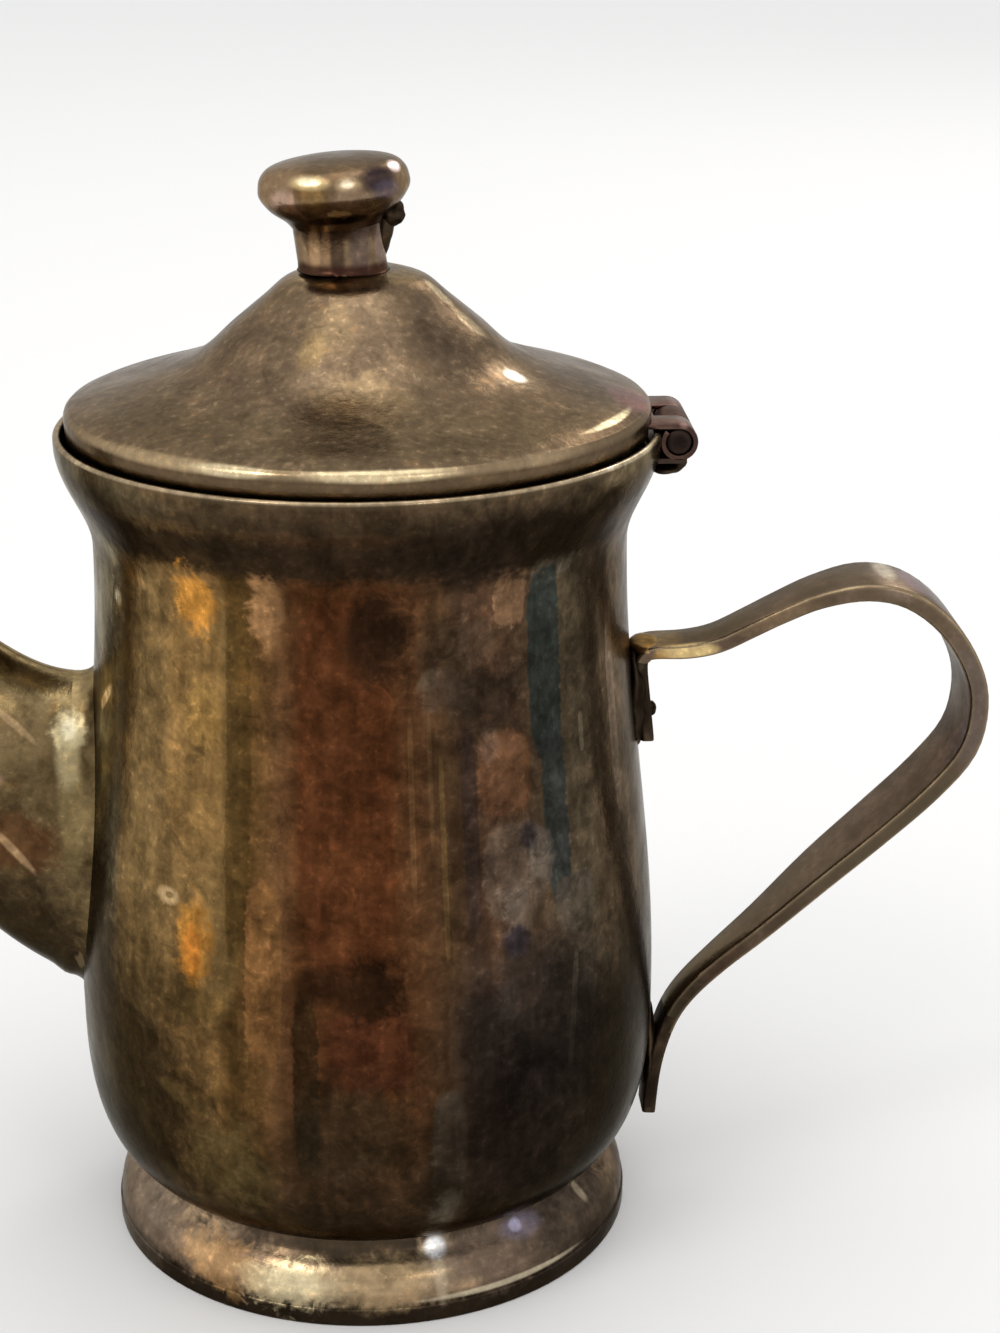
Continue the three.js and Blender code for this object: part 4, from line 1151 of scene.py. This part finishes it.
knob_solder = [
    lump(
        "knob_solder_run", (2.95 * MM, 0.9 * MM, CROWN_HEIGHT + 4.6 * MM),
        (1.15, 2.4, 3.6), 0.5, 0.4, 14),
    lump(
        "knob_solder_bead", (3.9 * MM, 0.2 * MM, CROWN_HEIGHT + 6.8 * MM),
        (1.6, 1.9, 1.4), 0.9, 0.6, 40),
]
for piece in knob_solder:
    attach(piece, "lid")
    piece.data.materials.append(solder_skin)

# Knob fixing
# A brass stud with a cut thread, screwed up into the knob. A stamped brass washer and a hexagon nut cut
# from bar draw it tight from inside the lid.
NUT_BELOW = 4.05 * MM
NUT_THICKNESS = 2 * MM
WASHER_THICKNESS = 0.7 * MM
NUT_ACROSS = 5 * MM
NUT_ROUND = 0.15 * MM
STUD_RADIUS = 1.25 * MM
THREAD_PITCH = 0.5 * MM
stud_low = -5 * MM
stud_top = SOCKET_TOP - 0.3 * MM
thread_root = STUD_RADIUS - 0.22 * MM
stud_profile = [(0, stud_low), (thread_root * 0.9, stud_low)]
turns = int((stud_top - stud_low) / THREAD_PITCH)
for i in range(turns):
    z = stud_low + (i + 0.5) * THREAD_PITCH
    stud_profile += [
        (thread_root, z - 0.1 * MM), (STUD_RADIUS, z + 0.12 * MM), (STUD_RADIUS, z + 0.18 * MM)]
stud_profile += [(thread_root * 0.9, stud_top), (0, stud_top)]
stud = turn("stud", stud_profile, 32)
WASHER_RADIUS = 2.9 * MM
WASHER_ROUND = 0.12 * MM
washer_low = NUT_THICKNESS - NUT_BELOW
washer_high = washer_low + WASHER_THICKNESS
washer_profile = [
    (BORE_RADIUS, washer_low), (WASHER_RADIUS - WASHER_ROUND, washer_low),
    (WASHER_RADIUS, washer_low + WASHER_ROUND), (WASHER_RADIUS, washer_high - WASHER_ROUND),
    (WASHER_RADIUS - WASHER_ROUND, washer_high), (BORE_RADIUS, washer_high)]
washer = turn("washer", washer_profile + washer_profile[:1], 64)
nut_middle = (0, 0, NUT_THICKNESS / 2 - NUT_BELOW)
bpy.ops.mesh.primitive_cylinder_add(
    vertices=6, radius=NUT_ACROSS / math.sqrt(3), depth=NUT_THICKNESS, location=nut_middle,
    rotation=(0, 0, math.radians(30)))
nut = start_with("nut")
close_up(nut)
round_edges(nut, NUT_ROUND, 40, 2)
bpy.ops.mesh.primitive_cylinder_add(
    vertices=32, radius=BORE_RADIUS, depth=2 * NUT_THICKNESS, location=nut_middle)
cut_away(nut, bpy.context.object)

# Brass that has gone dull in the damp under the lid: to the eye a muted brownish yellow
old_brass = tarnished(
    "old_brass", ("6b5324", "8f7136", "ab8b4c"), as_it_lies, roughness=0.4,
    flecks=0.15, worn="c9ab6d")
for piece, replaced in ((stud, "knob_stud"), (washer, "knob_washer"), (nut, "knob_nut")):
    seat(piece, KNOB_PLACE, KNOB_LEAN)
    bpy.ops.object.shade_smooth_by_angle(angle=math.radians(30))
    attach(piece, "lid")
    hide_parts(replaced)
    piece.data.materials.append(old_brass)

# Floor, light and camera
# A plain pale table under soft studio light, seen from a little above through a long lens. None of it
# belongs to the creamer.
bpy.ops.mesh.primitive_plane_add(size=6, location=(0, 0, 0))
floor = bpy.context.object
floor.name = "floor"

# Matt white paper: to the eye an even pale ground that shows only the creamer's soft shadow
white = bpy.data.materials.new("matt_white_paper")
white.use_nodes = True
shader = white.node_tree.nodes["Principled BSDF"]
shader.inputs["Base Color"].default_value = linear("f4f4f4")
shader.inputs["Roughness"].default_value = 0.9
floor.data.materials.append(white)

# The room is plain white where it is seen or mirrored, and lights the creamer a little less than that
ROOM_LIGHT = 0.88
world = bpy.data.worlds.new("studio")
bpy.context.scene.world = world
world.use_nodes = True
tree = world.node_tree
rays = node(tree, "LightPath")
seen = rays.outputs["Is Camera Ray"]
for kind in ("Is Glossy Ray", "Is Transmission Ray"):
    seen = node(tree, "Math", {0: seen, 1: rays.outputs[kind]}, operation="MAXIMUM")
background = tree.nodes["Background"]
background.inputs["Color"].default_value = (1, 1, 1, 1)
level = node(tree, "MapRange", {"Value": seen, "To Min": ROOM_LIGHT, "To Max": 1})
tree.links.new(level.outputs["Result"], background.inputs["Strength"])

# Each lamp: degrees from the front to the right, degrees up, distance, size, watts and colour. All of
# them aim at the middle of the creamer.
AIM_HEIGHT = 0.06
lamps = [
    ("key_left", -48, 48, 1.2, 0.34, 1.7, "fff8ef"),
    ("front_right", 25, 30, 1.3, 0.12, 0.5, "fff4e6"),
    ("back_right", 148, 34, 1.2, 0.3, 1.2, "fffaf4"),
    ("above", 0, 84, 1.4, 1.0, 3, "ffffff"),
]
for name, around, up, far, wide, watts, colour in lamps:
    light = bpy.data.lights.new(name, "AREA")
    light.size = wide
    light.energy = watts
    light.color = linear(colour)[:3]
    lamp = bpy.data.objects.new(name, light)
    bpy.context.collection.objects.link(lamp)
    flat = math.cos(math.radians(up)) * far
    lamp.location = (
        flat * math.sin(math.radians(around)), -flat * math.cos(math.radians(around)),
        AIM_HEIGHT + far * math.sin(math.radians(up)))
    lamp.rotation_euler = (math.radians(90 - up), 0, math.radians(around))

# The camera's place, slope and lens, as fitted to the photograph
camera_data = bpy.data.cameras.new("camera")
camera = bpy.data.objects.new("camera", camera_data)
bpy.context.collection.objects.link(camera)
camera.location = (0, -0.2838, 0.1671)
camera.rotation_euler = (math.radians(70.78), 0, math.radians(-3.19))
camera_data.lens = 70
camera_data.sensor_fit = "VERTICAL"
camera_data.sensor_height = 36
camera_data.clip_start = 0.01
bpy.context.scene.camera = camera
bpy.context.scene.view_settings.view_transform = "Standard"
